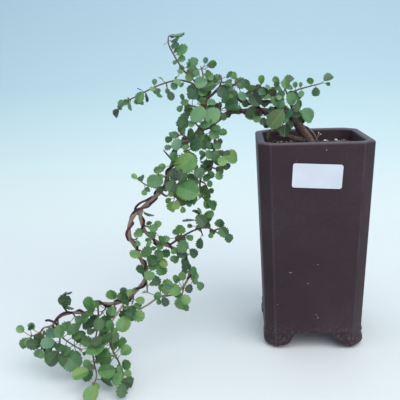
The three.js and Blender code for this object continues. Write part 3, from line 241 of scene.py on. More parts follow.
        [(2, 1, 1), (-1, 3, 1), (1, -3, 1), (-1, 0, -1), 0, (1, 3), (1, -1, -1), 0, (-3, 3, 1), 0, (-2, -2, -1),
         (1, 0, -1), (-1, -1, -1), (0, 0, -1), (-2, -1, -1), (0, 0, 1), 0, (-2, 2, 1), (2, -1), (0, -2), (-1, -1, 1),
         (1, 0, 1)]),
    "loop_spray": ([[(-168, -64, 91), (-164, -69, 91), (-162, -71, 88)]],
        [(-171, 93, 12), (-161, 86, 12)],
        [(-1, 1), (2, 3, -1), (0, -1), (0, 0, 1)]),
    "loop_low_spray": ([[(-167, -67, 85), (-166, -71, 78), (-166, -73, 72)]],
        [(-161, 78, 8, 50), (-159, 71, 9), (-170, 76, 7)],
        [(0, 4, -1), (3, -2), (0, -4, -1)]),
    "right_tail_spray": ([[(-156, -56, 61), (-155, -60, 67)]],
        [(-154, 72, 8), (-152, 57, 11)],
        [(0, 0, -1), (1, 0, -1), (1, 0, -1), (1, -1)]),
    "curve_spray": ([[(-180, -72, 72), (-179, -78, 68), (-180, -80, 64)]],
        [(-185, 74, 8), (-174, 68, 9), (-185, 68, 11), (-180, 60, 13), (-172, 62, 8, 50), (-191, 70, 9),
         (-177, 72, 9)],
        [(-3, 1, 1), (0, -2), (-2, -1, 1), (-1, -1), (-3, 0, 1), (1, 0, 1), (-3, 3, -1), (-2, 1)]),
    "tan_twig_spray": ([[(-190, -77, 61), (-185, -83, 58), (-183, -85, 54)]],
        [(-187, 48, 18), (-175, 53, 11)],
        [(-1, 1, -1), (1, 0, 1), (3, -1, 1), (0, 0, 1), (0, 0, 1)]),
    "left_middle_spray": ([[(-205, -78, 63), (-207, -81, 59), (-211, -82, 56)]],
        [(-219, 64, 17), (-209, 51, 12), (-219, 51, 10), (-209, 64, 8), (-211, 57, 10)],
        [(-3, -1), (2, -3, 1), (0, -2), (-4, 0, -1), (-1, -4, 1), (3, 0)]),
    "left_middle_low_spray": ([[(-198, -77, 63), (-197, -83, 60)]],
        [(-200, 70, 12), (-198, 57, 11)],
        [(1, 4), (-2, 3), (0, -3)]),
    "hanging_shoot_left": ([[(-214, -80, 64), (-212, -90, 54), (-212, -102, 42), (-213, -114, 33), (-210, -124, 25),
          (-206, -133, 18), (-207, -142, 13)]],
        [(-219, 49, 13), (-216, 43, 11), (-206, 47, 15), (-211, 36, 19), (-207, 30, 16), (-202, 23, 16, 55),
         (-214, 25, 9), (-217, 20, 17), (-209, 7, 16), (-204, 41, 9), (-197, 14, 14), (-220, 41, 10), (-205, 33, 10),
         (-211, 21, 9), (-223, 59, 9)],
        [0, (1, 1, -1), (3, 0), 0, (2, 1, 1), 0, (-2, -2, 1), (-3, -3, -1), 0, (2, -1, 1), 0, (0, -4, 1), (-1, -4), 0,
         (2, -2, -1), (2, 0), (-1, -4), (2, 0, 1), (1, -2, 1), (0, 4, 1), (-1, 4, 1), (0, -1), (0, -3, 1)]),
    "hanging_shoot_right": ([[(-202, -97, 39), (-196, -110, 32), (-187, -122, 24), (-182, -131, 18),
          (-182, -137, 15)]],
        [(-197, 49, 11), (-195, 41, 12), (-189, 34, 16), (-182, 32, 12), (-201, 27, 12), (-197, 23, 11),
         (-182, 24, 13, 50), (-189, 18, 15), (-184, 6, 14), (-175, 15, 12, 50), (-190, 28, 10), (-189, 21, 10),
         (-180, 21, 9), (-202, 19, 9)],
        [(1, 4, 1), 0, (3, 3, -1), (1, 3, -1), (-2, -3), (-4, 1, 1), (0, 1, -1), 0, (1, -1, -1), (-3, -2),
         (-3, 2, -1), (3, -2, 1), (-1, -4, -1), (0, -4, 1), (1, -1, 1), (-3, -2, 1), (0, -1, -1), (3, 3, 1),
         (-1, 1, 1)]),
    "tip_lower_spray": ([[(-252, -91, 53), (-249, -97, 40), (-238, -103, 34), (-225, -108, 29)],
         [(-249, -97, 40), (-248, -103, 33), (-246, -107, 27)]],
        [(-248, 47, 13), (-231, 46, 16), (-225, 39, 15), (-237, 28, 10), (-238, 18, 18), (-248, 29, 12),
         (-254, 20, 15), (-257, 33, 12), (-223, 26, 4), (-242, 41, 10), (-236, 37, 9), (-221, 33, 9), (-244, 16, 9)],
        [0, (0, 4), 0, (-3, 0), (2, -2, 1), 0, (-1, 0), (-3, 0, 1), (-1, -1, -1), (3, 3, 1), (3, 3, 1), (4, -1, -1),
         (0, 0, 1), (2, -1, 1), (0, 0, 1), (1, 1, 1), (0, -1, 1), (1, -4, 1), (-2, -3)]),
    "tip_spray": ([[(-266, -93, 45), (-271, -97, 40), (-278, -99, 39)],
         [(-269, -96, 42), (-264, -100, 36), (-264, -103, 29)]],
        [(-260, 41, 12), (-271, 45, 9), (-283, 45, 8), (-276, 45, 7), (-281, 34, 10), (-272, 31, 12), (-267, 23, 10),
         (-257, 33, 8), (-261, 38, 10), (-276, 37, 9), (-265, 22, 9)],
        [(2, 0, 1), (-4, 1, -1), (-4, 1), (-1, 3), (-3, -2, 1), (-2, 1, 1), (-2, 0, 1), (0, -2, 1), (-2, 3), 0,
         (4, 1), (1, -1, 1), (0, 0, 1)]),
    "limb_end_spray": ([[(-238, -87, 58), (-234, -91, 55), (-231, -93, 52)]],
        [(-228, 55, 13), (-240, 51, 6), (-224, 49, 10)],
        [(2, -1, -1), (-2, -3, -1), (-2, 3, 1), (2, -1, -1), (2, -2)]),
    "upright_shoot": ([[(-242, -88, 58), (-247, -90, 69), (-247, -91, 76), (-240, -92, 82)]],
        [(-253, 74, 9), (-240, 74, 10), (-235, 83, 9, 50), (-240, 67, 8, 50)],
        [(1, -3, -1), (0, -1), (0, -3, -1), (-2, 3, -1), (1, 0)]),
}
# Smaller leaves that fill the shoots out: x, z, length
fillPoints = {
    "side_twig": [(-113, 138, 11), (-135, 116, 11), (-106, 130, 9.5), (-93, 127, 11), (-115, 131, 8), (-101, 126, 6),
        (-140, 124, 6)],
    "right_inner_spray": [(-141, 68, 11), (-145, 75, 8)],
    "drop_right_spray": [(-142, 174, 11), (-132, 183, 11)],
    "low_left_spray": [(-154, 177, 11), (-150, 170, 6)],
    "tip_lower_spray": [(-252, 44, 11), (-248, 30, 11), (-228, 40, 11), (-247, 20, 9.5), (-233, 26, 8), (-256, 38, 7),
        (-241, 31, 6)],
    "trunk_front_spray": [(-36, 240, 11), (-37, 227, 11), (-27, 233, 11), (-41, 234, 7), (-21, 227, 8)],
    "crown_middle_spray": [(-74, 269, 11), (-83, 268, 7)],
    "crook_right_spray": [(-93, 247, 11), (-85, 256, 11), (-90, 238, 7), (-83, 242, 7)],
    "bend_left_spray": [(-128, 216, 11), (-137, 220, 9.5), (-121, 220, 8)],
    "tip_spray": [(-271, 37, 11), (-262, 30, 11), (-281, 40, 11)],
    "crown_spray": [(-90, 274, 11), (-101, 259, 8)],
    "hanging_branch": [(-106, 187, 11), (-97, 201, 11), (-96, 234, 11), (-101, 221, 11), (-109, 168, 11),
        (-106, 155, 11), (-106, 202, 8), (-115, 184, 11), (-95, 213, 11), (-95, 186, 9.5), (-90, 194, 9.5),
        (-89, 202, 7), (-102, 194, 6), (-115, 163, 6), (-107, 194, 6)],
    "loop_spray": [(-163, 90, 11), (-168, 96, 8)],
    "crown_right_spray": [(-74, 250, 11), (-54, 263, 11), (-67, 258, 11), (-73, 242, 8)],
    "trunk_right_spray": [(-20, 241, 11), (-10, 233, 9.5), (-14, 243, 8)],
    "right_bend_spray": [(-126, 80, 11), (-131, 83, 6), (-122, 74, 6)],
    "hanging_shoot_left": [(-212, 38, 11), (-215, 18, 11), (-213, 50, 11), (-207, 43, 11), (-214, 56, 9.5),
        (-214, 63, 7), (-212, 19, 6), (-212, 27, 11), (-218, 45, 7), (-206, 14, 7)],
    "limb_top_spray": [(-39, 260, 11), (-37, 249, 11)],
    "right_limb_spray": [(-158, 102, 11), (-166, 115, 6), (-155, 110, 8), (-161, 94, 8)],
    "crook_left_spray": [(-108, 248, 11), (-125, 249, 11), (-113, 243, 9.5), (-110, 255, 6), (-101, 247, 6),
        (-129, 252, 7)],
    "left_limb_spray": [(-169, 111, 11)],
    "upper_left_shoot": [(-171, 260, 11), (-185, 255, 7), (-136, 273, 7), (-157, 268, 7), (-115, 261, 11),
        (-191, 251, 7)],
    "crown_left_spray": [(-112, 272, 11), (-105, 283, 6)],
    "bend_under_spray": [(-121, 202, 11), (-143, 210, 8), (-125, 209, 7)],
    "limb_spray": [(-54, 240, 11), (-46, 246, 11), (-53, 233, 7)],
    "curve_spray": [(-181, 67, 11), (-181, 73, 7)],
    "apex_shoot": [(-119, 283, 11), (-128, 285, 8), (-135, 304, 7)],
    "tan_twig_spray": [(-190, 55, 11), (-186, 61, 6), (-181, 52, 7)],
    "right_shoot": [(-19, 257, 11)],
    "hanging_shoot_right": [(-197, 52, 11), (-194, 36, 11), (-183, 17, 11), (-186, 21, 7), (-193, 16, 11),
        (-196, 45, 6), (-206, 34, 6)],
    "fork_spray": [(-163, 131, 9.5)],
    "crook_spray": [(-116, 236, 11), (-109, 224, 9.5)],
    "limb_end_spray": [(-233, 54, 9.5), (-237, 46, 6), (-224, 56, 6)],
    "trunk_top_spray": [(-26, 268, 9.5), (-30, 251, 6)],
    "drop_left_spray": [(-155, 186, 9.5), (-150, 181, 7)],
    "left_middle_low_spray": [(-200, 60, 11), (-197, 67, 8)],
    "right_limb_low_spray": [(-130, 100, 9.5), (-141, 103, 7)],
    "right_end_spray": [(-131, 58, 9.5), (-137, 74, 9.5), (-137, 61, 8)],
    "stub_spray": [(-131, 160, 11), (-141, 166, 6), (-126, 157, 6)],
    "right_tail_spray": [(-151, 69, 11), (-158, 58, 6)],
    "fork_left_spray": [(-176, 127, 9.5)],
    "drop_upper_spray": [(-136, 194, 9.5)],
    "upright_shoot": [(-245, 73, 8)],
    "left_middle_spray": [(-206, 54, 9.5)],
}

# Small helpers for meshes and node trees

def unit(vector):
    return vector / np.linalg.norm(vector)


def crossed(a, b):
    return np.array([a[1] * b[2] - a[2] * b[1], a[2] * b[0] - a[0] * b[2], a[0] * b[1] - a[1] * b[0]])


def turnedAbout(vector, axis, angle):
    c, s = math.cos(angle), math.sin(angle)
    return vector * c + crossed(axis, vector) * s + axis * (axis @ vector) * (1 - c)


def lengthsAlong(points):
    return np.concatenate([[0], np.cumsum(np.linalg.norm(np.diff(points, axis=0), axis=1))])


def addObject(name, data):
    made = bpy.data.objects.new(name, data)
    bpy.context.scene.collection.objects.link(made)
    return made


def newObject(name, vertices, faces, edges=()):
    mesh = bpy.data.meshes.new(name)
    mesh.from_pydata([tuple(v) for v in vertices], list(edges), [tuple(f) for f in faces])
    mesh.polygons.foreach_set("use_smooth", [True] * len(mesh.polygons))
    mesh.update()
    return addObject(name, mesh)


def gridFaces(rows, count, closed=True):
    # quads between rows of points, each row closed into a loop or left open
    return [[a * count + k, a * count + (k + 1) % count, (a + 1) * count + (k + 1) % count, (a + 1) * count + k]
            for a in rows for k in range(count if closed else count - 1)]


def turnOutward(mesh, merge=False):
    shape = bmesh.new()
    shape.from_mesh(mesh)
    if merge:
        bmesh.ops.remove_doubles(shape, verts=shape.verts, dist=1e-6)
    bmesh.ops.recalc_face_normals(shape, faces=shape.faces)
    shape.to_mesh(mesh)
    shape.free()


def setAttribute(mesh, name, values, kind="FLOAT"):
    attribute = mesh.attributes.new(name, kind, "POINT")
    key = "vector" if kind == "FLOAT_VECTOR" else "value"
    attribute.data.foreach_set(key, np.asarray(values, float if "FLOAT" in kind else int).ravel())


def bakedDown(made, finish=None):
    # the evaluated object becomes a plain mesh, and its modifiers go
    graph = bpy.context.evaluated_depsgraph_get()
    mesh = bpy.data.meshes.new_from_object(made.evaluated_get(graph))
    old = made.data
    made.modifiers.clear()
    made.data = mesh
    mesh.name = made.name
    bpy.data.meshes.remove(old)
    if finish is not None:
        mesh.materials.clear()
        mesh.materials.append(finish)
    return made


def grownBy(made, tree, values):
    # a node tree makes the object's mesh; its inputs are set by their identifiers
    modifier = made.modifiers.new(tree.name, "NODES")
    modifier.node_group = tree
    for item in tree.interface.items_tree:
        if item.item_type == "SOCKET" and item.in_out == "INPUT" and item.name in values:
            modifier[item.identifier] = values[item.name]
    return bakedDown(made)


def isSocket(value):
    return isinstance(value, bpy.types.NodeSocket)


def addNode(at, kind, inputs=None, **settings):
    # at is the tree, or any socket or node in it
    tree = at.id_data
    node = tree.nodes.new(kind)
    for key, value in settings.items():
        setattr(node, key, value)
    for key, value in (inputs or {}).items():
        if isSocket(value):
            tree.links.new(value, node.inputs[key])
        else:
            node.inputs[key].default_value = value
    return node


def newTree(name, sockets):
    # the tree, what goes in, by name, and the node that what comes out is linked to
    tree = bpy.data.node_groups.new(name, "GeometryNodeTree")
    for label, kind in {"Geometry": "Geometry", **sockets}.items():
        tree.interface.new_socket(label, in_out="INPUT", socket_type="NodeSocket" + kind)
    tree.interface.new_socket("Geometry", in_out="OUTPUT", socket_type="NodeSocketGeometry")
    return tree, tree.nodes.new("NodeGroupInput").outputs, tree.nodes.new("NodeGroupOutput")


def geometryOf(at, kind, inputs, **settings):
    return addNode(at, "GeometryNode" + kind, inputs, **settings).outputs[0]


def namedValue(tree, name, kind="FLOAT"):
    return addNode(tree, "GeometryNodeInputNamedAttribute", {"Name": name}, data_type=kind).outputs["Attribute"]


def linearOf(colour):
    # a screen colour, 0 to 255, as the linear one that shaders take
    lin = [v / 3294.6 if v <= 10.3 else ((v / 255 + 0.055) / 1.055) ** 2.4 for v in colour]
    return (*lin, 1.0)


def newFinish(name, roughness, **shaderInputs):
    material = bpy.data.materials.new(name)
    material.use_nodes = True
    tree = material.node_tree
    tree.nodes.clear()
    shader = addNode(tree, "ShaderNodeBsdfPrincipled", {"Roughness": roughness, **shaderInputs})
    addNode(tree, "ShaderNodeOutputMaterial", {"Surface": shader.outputs["BSDF"]})
    return material, shader, addNode(tree, "ShaderNodeTexCoord").outputs["Object"]


def dress(shader, base, rough=None, height=None, distance=0.0, strength=1.0):
    # colour, roughness and bump of a finish
    links = shader.id_data.links
    links.new(base, shader.inputs["Base Color"])
    if rough is not None:
        links.new(rough, shader.inputs["Roughness"])
    if height is not None:
        bump = addNode(shader, "ShaderNodeBump", {"Height": height, "Distance": distance, "Strength": strength})
        links.new(bump.outputs["Normal"], shader.inputs["Normal"])


def attributeOf(at, name, output="Fac"):
    return addNode(at, "ShaderNodeAttribute", attribute_name=name).outputs[output]


def partsOf(vector):
    return addNode(vector, "ShaderNodeSeparateXYZ", {"Vector": vector}).outputs


def noiseOf(place, scale, detail=4.0, roughness=0.55, stretch=None):
    if stretch:
        place = addNode(place, "ShaderNodeMapping", {"Vector": place, "Scale": stretch}).outputs["Vector"]
    return addNode(place, "ShaderNodeTexNoise", {
        "Vector": place, "Scale": scale, "Detail": detail, "Roughness": roughness}).outputs["Fac"]


def ramped(value, stops):
    node = addNode(value, "ShaderNodeValToRGB", {"Fac": value})
    elements = node.color_ramp.elements
    while len(elements) < len(stops):
        elements.new(1.0)
    for element, (at, colour) in zip(elements, stops):
        element.position, element.color = at, linearOf(colour)
    return node.outputs["Color"]


def maths(operation, *values):
    at = next(v for v in values if isSocket(v))
    return addNode(at, "ShaderNodeMath", dict(enumerate(values)), operation=operation).outputs["Value"]


def times(a, b):
    return maths("MULTIPLY", a, b)


def plus(a, b):
    return maths("ADD", a, b)


def minus(a, b):
    return maths("SUBTRACT", a, b)


def spread(value, low, high, toLow=0.0, toHigh=1.0):
    return addNode(value, "ShaderNodeMapRange", {
        "Value": value, "From Min": low, "From Max": high, "To Min": toLow, "To Max": toHigh}).outputs["Result"]


def mixed(share, a, b):
    # a and b are sockets or screen colours
    a, b = (v if isSocket(v) else linearOf(v) for v in (a, b))
    at = next(v for v in (share, a, b) if isSocket(v))
    return addNode(at, "ShaderNodeMix", {0: share, 6: a, 7: b}, data_type="RGBA").outputs[2]


# Camera at the photograph's viewing angle

cameraSpot = {"place": (-71.6, -597.3, 296.3), "yaw": -0.0746, "pitch": 0.2436, "roll": -0.0342, "lens": 52.04,
              "sensor": 36.0, "near": 0.02, "far": 20.0}


def setCamera():
    yaw, pitch, roll = cameraSpot["yaw"], cameraSpot["pitch"], cameraSpot["roll"]
    ahead = np.array([math.sin(yaw) * math.cos(pitch), math.cos(yaw) * math.cos(pitch), -math.sin(pitch)])
    level = np.array([math.cos(yaw), -math.sin(yaw), 0.0])
    top = np.array([math.sin(yaw) * math.sin(pitch), math.cos(yaw) * math.sin(pitch), math.cos(pitch)])
    right = math.cos(roll) * level + math.sin(roll) * top
    upward = -math.sin(roll) * level + math.cos(roll) * top
    data = bpy.data.cameras.new("camera")
    data.lens, data.sensor_width = cameraSpot["lens"], cameraSpot["sensor"]
    data.clip_start, data.clip_end = cameraSpot["near"], cameraSpot["far"]
    camera = addObject("camera", data)
    place = toMetres(cameraSpot["place"])[0]
    camera.matrix_world = Matrix([*zip(right, upward, -ahead, place), (0, 0, 0, 1)])
    bpy.context.scene.camera = camera


setCamera()
print("camera set")


# Curves that limbs, stems and wires follow

stemRadius = (0.95, 0.6)


def smoothPath(path, perSpan):
    knots = np.array([p[:3] for p in path], float)
    spans = len(path) - 1
    radii = [p[3] if len(p) > 3 else stemRadius[0] + (stemRadius[1] - stemRadius[0]) * k / spans
             for k, p in enumerate(path)]
    points, widths = [], []
    for k in range(spans * perSpan + 1):
        low = min(k // perSpan, spans - 1)
        share = k / perSpan - low
        before = knots[low - 1] if low > 0 else 2 * knots[0] - knots[1]
        after = knots[low + 2] if low + 2 <= spans else 2 * knots[-1] - knots[-2]
        a, b = knots[low], knots[low + 1]
        slopeA, slopeB = (b - before) / 2, (after - a) / 2
        points.append(a + slopeA * share + (3 * (b - a) - 2 * slopeA - slopeB) * share ** 2
                      + (2 * (a - b) + slopeA + slopeB) * share ** 3)
        widths.append(radii[low] * (1 - share) + radii[low + 1] * share)
    return np.array(points), np.array(widths)


def across(points, k):
    along = unit(points[min(k + 1, len(points) - 1)] - points[max(k - 1, 0)])
    side = unit(crossed(along, back))
    return side, crossed(along, side)


# Rule that grows the leaves: each turns its face to the front and is lifted or rolled till it is clear

growth = {"petiole": 1.8, "width": 0.92, "fold": 0.24, "room": 0.55, "ground": 1.5, "gap": 0.3,
          "spots": (0.35, 0.75), "lifts": (0, 2, -2, 4, -4, 6, -6, 8, -8, 11, -11, 14, -14),
          "rolls": (0, 25, -25, 50), "depthSpread": 0.8, "depthBias": 0.4, "faceFront": 0.85,
          "faceUp": 0.4, "faceSpread": 0.7, "leastFace": 0.25, "seed": 7, "roomMiddle": 0.4, "roomReach": 0.65,
          "stemRoom": 0.1, "wallRoom": 1,
          "roomEdge": ((0.12, 0.5), (0.42, 0.97), (0.76, 0.97), (0.94, 0.6))}
eye = np.array([-72.0, -597.0, 296.0])
noAxes = np.zeros((0, 3))


def generator(seed):
    state = seed
    while True:
        state = state * 16807 % 2147483647
        yield state / 2147483647


def nearestSpot(stems, x, z):
    best = None
    for points in stems:
        for k in range(1, len(points)):
            for share in growth["spots"]:
                if k == 1 and share <= 0.5:
                    continue
                point = points[k - 1] + (points[k] - points[k - 1]) * share
                away = math.hypot(point[0] - x, point[2] - z)
                if best is None or away < best[0]:
                    best = (away, point, unit(points[k] - points[k - 1]))
    return best[1:]


def facingOf(sight, draws):
    return sight * growth["faceFront"] + up * growth["faceUp"] + (np.array(draws) - 0.5) * growth["faceSpread"]


def newLeaf(root, along, petiole, length, off, half, start):
    # where the petiole meets the blade's line, the blade's three directions and sizes, and where the petiole starts
    return {"root": root, "along": along, "petiole": petiole, "length": length, "off": off,
            "side": crossed(along, off), "half": half, "from": start}


def poseLeaf(spot, leaf, lift, roll, draws):
    x, z, length = leaf[:3]
    turn = leaf[3] if len(leaf) > 3 else 0
    root, stemAlong = spot
    middle = np.array([x, root[1], z], float)
    sight = unit(eye - middle)
    reach = middle + sight * lift - root
    away = np.linalg.norm(reach)
    along = unit(reach + stemAlong * max(0, length / 2 - away))
    petiole = max(growth["petiole"], away - length / 2)
    off = facingOf(sight, draws[1:4])
    off = off - along * (off @ along)
    if np.linalg.norm(off) < growth["leastFace"]:
        off = up - along * (up @ along)
    leaf = newLeaf(root, along, petiole, length, unit(off), length * growth["width"] / 2, root)
    for key in ("off", "side"):
        leaf[key] = turnedAbout(leaf[key], along, math.radians(turn + roll))
    return leaf


def onLeaf(leaf, share, out, rise):
    return (leaf["root"] + leaf["along"] * (leaf["petiole"] + share * leaf["length"])
            + leaf["side"] * out + leaf["off"] * rise)


def leafRoom(leaf):
    half, rise = leaf["half"], leaf["half"] * growth["fold"]
    points = [onLeaf(leaf, share, 0, 0) for share in (0, 0.5, 1)]
    for hand in (-1, 1):
        points += [onLeaf(leaf, share, hand * half * out, rise * out) for share, out in growth["roomEdge"]]
    return (onLeaf(leaf, growth["roomMiddle"], 0, 0), leaf["length"] * growth["roomReach"] + leaf["petiole"],
            growth["room"], np.array(points), np.array([leaf["off"], leaf["side"], leaf["along"]]))


def stretchRooms(points, radii):
    return [((a + b) / 2, np.linalg.norm(b - a) / 2 + r, r, np.array([a, b]), noAxes)
            for a, b, r in zip(points, points[1:], radii)]


def wallRoom(x0, y0, x1, y1):
    points = np.array([[x, y, z] for z in (0, pot["height"]) for x, y in
                       ((x0, y0), (x1, y0), (x0, y1), (x1, y1))], float)
    return (points[0] + points[7]) / 2, pot["width"] * 2, growth["gap"], points, np.eye(3)


class Crowd:
    # rooms already taken, with a quick test by distance before the exact one
    def __init__(self, rooms):
        self.rooms = list(rooms)
        self.middles = np.array([r[0] for r in self.rooms])
        self.reaches = np.array([r[1] + r[2] for r in self.rooms])

    def isClearOf(self, room):
        if not self.rooms:
            return True
        away = np.linalg.norm(self.middles - room[0], axis=1)
        for k in np.nonzero(away <= self.reaches + room[1] + room[2])[0]:
            other = self.rooms[k]
            axes = np.vstack([room[4], other[4], (other[0] - room[0])[None] / away[k]])
            mine, theirs = room[3] @ axes.T, other[3] @ axes.T
            need = room[2] + other[2]
            if not ((mine.min(0) - theirs.max(0) > need) | (theirs.min(0) - mine.max(0) > need)).any():
                return False
        return True


def isFree(room, crowds):
    return room[3][:, 2].min() > growth["ground"] and all(crowd.isClearOf(room) for crowd in crowds)


def findPose(spot, leaf, draws, crowds):
    lift = (draws[0] - growth["depthBias"]) * growth["depthSpread"] * leaf[2]
    for roll in growth["rolls"]:
        for extra in growth["lifts"]:
            pose = poseLeaf(spot, leaf, lift + extra, roll, draws)
            room = leafRoom(pose)
            if isFree(room, crowds):
                return pose, room
    return None


# Values of the pot and of the wires, as in the solids

pot = {"width": 112, "footWidth": 97.4, "height": 214.4, "chamferTop": 11.9, "chamferFoot": 9.9, "wall": 8,
       "underside": 17.5, "floor": 9, "drain": 10, "lip": 2.8, "innerCorner": 14, "fillet": 5.0, "edge": 0.9,
       "bevelAngle": 38, "bevelSteps": 2, "sharpAngle": 42}
wire = {"radius": 0.9, "pitch": 20, "coarseSteps": 6, "coarseStandoff": 1, "fineSteps": 24, "thick": 1.15,
        "end": 0.9, "sides": 10, "perSpan": 8}
wireRuns = {
    "training_wire_main": {"limb": "cascade", "from": 0.13, "to": 0.985, "phase": 0.6,
                           "before": [(8, 7, 172), (8, 7, 190), (8, 6, 202)],
                           "after": [(-266, -97, 51), (-262, -99, 53), (-256, -99, 51), (-252, -98, 47)]},
    "training_wire_side": {"limb": "right_limb", "from": 0.03, "to": 0.62, "phase": 3.4, "before": [], "after": []},
}


def wirePoints(run, steps, standoff):
    points, widths = smoothPath(limbPoints[run["limb"]], wire["perSpan"])
    length = lengthsAlong(points)
    total = length[-1]
    step = wire["pitch"] / steps
    turns, k = [], 0
    for n in range(int((run["to"] - run["from"]) * total / step) + 1):
        target = run["from"] * total + n * step
        while length[k + 1] < target:
            k += 1
        share = (target - length[k]) / (length[k + 1] - length[k])
        side, rise = across(points, k)
        reach = widths[k] + wire["radius"] + standoff
        angle = run["phase"] + 2 * math.pi * n / steps
        turns.append(points[k] + (points[k + 1] - points[k]) * share
                     + side * math.cos(angle) * reach + rise * math.sin(angle) * reach)
    return np.array([*map(np.array, run["before"]), *turns, *map(np.array, run["after"])], float)


def growAll():
    fixed = []
    for name, path in limbPoints.items():
        points, widths = smoothPath(path, 2 if name == "cascade" else 1)
        fixed += stretchRooms(points, widths[1:])
    for run in wireRuns.values():
        points = wirePoints(run, wire["coarseSteps"], wire["coarseStandoff"])
        fixed += stretchRooms(points, [wire["radius"]] * (len(points) - 1))
    edge = pot["width"] / 2
    inside = edge - pot["wall"] - growth["wallRoom"]
    fixed += [wallRoom(-edge, -edge, -inside, edge), wallRoom(inside, -edge, edge, edge),
              wallRoom(-edge, -edge, edge, -inside), wallRoom(-edge, inside, edge, edge)]
    shoots = {}
    for name, (stems, leaves, moves) in shootPoints.items():
        paths = [smoothPath(stem, 1) for stem in stems]
        rooms = [room for points, widths in paths for room in stretchRooms(points, widths[1:] + growth["stemRoom"])]
        shoots[name] = {"stems": stems, "paths": [p for p, w in paths], "rooms": rooms, "leaves": leaves,
                        "moves": moves, "grown": [], "taken": []}
    chance = generator(growth["seed"])
    for name, shoot in shoots.items():
        others = [r for other, s in shoots.items() if other != name for r in s["rooms"] + s["taken"]]
        crowd = Crowd(fixed + others)
        for leaf in shoot["leaves"]:
            spot = nearestSpot(shoot["paths"], leaf[0], leaf[1])
            draws = [next(chance) for n in range(4)]
            # where no place is clear of the shoot's own leaves, the leaf may lie over them
            found = findPose(spot, leaf, draws, [crowd, Crowd(shoot["taken"])]) or findPose(spot, leaf, draws, [crowd])
            if found:
                shoot["grown"].append(found[0])
                shoot["taken"].append(found[1])
    return shoots, fixed


shoots, fixedRooms = growAll()
print("leaves grown:", sum(len(s["grown"]) for s in shoots.values()))


# Smaller leaves that fill the shoots out: each lies in front of its stem or behind it on a bent petiole

fillRule = {"seed": 23, "lifts": (3, -3, 5, -5, 7, -7, 9, -9, 11, -11), "sway": 1.3, "droop": 0.35, "spare": 1.2,
            "reach": 13.0, "level": 0.85}


def fillPose(leaf, spot, lift, draws):
    x, z, length = leaf
    middle = np.array([x, spot[1], z], float)
    sight = unit(eye - middle)
    sideways = unit(crossed(sight, up))
    lifted = middle + sight * lift
    along = lifted - spot + length * ((draws[0] - 0.5) * fillRule["sway"] * sideways
                                      + (draws[1] - 0.5 - fillRule["droop"]) * up)
    along = unit(along - sight * (along @ sight) * fillRule["level"])
    off = facingOf(sight, draws[2:5])
    off = unit(off - along * (off @ along))
    foot = fillRule["spare"]
    return newLeaf(lifted - along * (length / 2 + foot), along, foot, length, off, length * growth["width"] / 2, spot)


def fillOut():
    chance = generator(fillRule["seed"])
    others = [r for s in shoots.values() for r in s["rooms"] + s["taken"]]
    crowd, added = Crowd(fixedRooms + others), []
    for name, leaves in fillPoints.items():
        for leaf in leaves:
            spot = nearestSpot(shoots[name]["paths"], leaf[0], leaf[1])[0]
            draws = [next(chance) for n in range(5)]
            for lift in fillRule["lifts"]:
                pose = fillPose(leaf, spot, lift, draws)
                room = leafRoom(pose)
                if np.linalg.norm(pose["root"] - spot) < fillRule["reach"] and isFree(room, [crowd, Crowd(added)]):
                    shoots[name]["grown"].append(pose)
                    added.append(room)
                    break
    print("leaves that fill out:", len(added), "of", sum(map(len, fillPoints.values())))


fillOut()


# The small moves of the leaves, which bring them nearer to the photograph's outline

sizeStep = 0.12


def touchLeaf(leaf, dx, dz, steps=0):
    size = 1 + sizeStep * steps
    leaf["root"] = leaf["root"] + np.array([dx, 0, dz]) - leaf["along"] * leaf["length"] * (size - 1) / 2
    leaf["length"], leaf["half"] = leaf["length"] * size, leaf["half"] * size


for shoot in shoots.values():
    for leaf, move in zip(shoot["grown"], shoot["moves"]):
        touchLeaf(leaf, *(move or (0, 0)))


# Leaves set one by one: shoot, which of its leaves each one takes the place of, start of the petiole, foot, tip,
# half width and how far the blade faces the camera

handPetiole = 0.8
handLeaves = [
    ("apex_shoot", None, (-141.2, -12.2, 315.6), (-138.6, -15, 317.6), (-125.2, -17, 317.4), 4.2, 0.12),
    ("fork_spray", None, (-171.6, -46, 149.5), (-169.6, -45, 147.6), (-160.4, -43, 142.2), 3.6, 0.16),
    ("side_twig", None, (-113.6, -44, 138), (-117.6, -47, 138.4), (-130.4, -49, 137.2), 3.6, 0.1),
    ("upright_shoot", 0, (-247, -90.8, 74.2), (-247.6, -90.4, 77.6), (-236.7, -90.6, 82), 2.2, 0.1),
    ("upright_shoot", 1, (-247, -90.8, 74.2), (-249.8, -92, 72.8), (-236.4, -92.6, 74), 3.6, 0.74),
    ("upright_shoot", 2, (-247, -90.8, 73), (-246.4, -91.4, 70.4), (-235.8, -92, 63.6), 2.2, 0.1),
    ("trunk_front_spray", 0, (-29.5, -6.5, 236.5), (-30, -20, 242), (-43, -25, 227), 9, 0.92),
    ("crook_spray", 6, (-119, -23.5, 234.8), (-119.5, -31, 235), (-107.4, -32, 246.8), 7.4, 0.95),
    ("crook_right_spray", 0, (-92.2, -14.5, 243.5), (-92.4, -22, 244.6), (-105, -26, 234.6), 7.4, 0.9),
    ("drop_upper_spray", 0, (-134, -40.2, 193.2), (-135.5, -44, 189), (-117.2, -49, 201.8), 7.4, 0.9),
    ("drop_left_spray", 0, (-153.8, -40.5, 184.2), (-147.6, -50, 179), (-163, -52, 180), 8.4, 0.92),
    ("tip_lower_spray", 4, (-246.5, -106, 28.5), (-245, -108, 27.3), (-228.5, -113, 14.6), 9, 0.95),
]


def handLeaf(start, foot, tip, half, facing):
    start, foot, tip = (np.array(p, float) for p in (start, foot, tip))
    along, length = unit(tip - foot), float(np.linalg.norm(tip - foot))
    sight = unit(eye - (foot + tip) / 2)
    flat = unit(sight - along * (along @ sight))
    off = unit(flat * facing + crossed(along, flat) * (1 - facing))
    return newLeaf(foot - along * handPetiole, along, handPetiole, length, off, half, start)


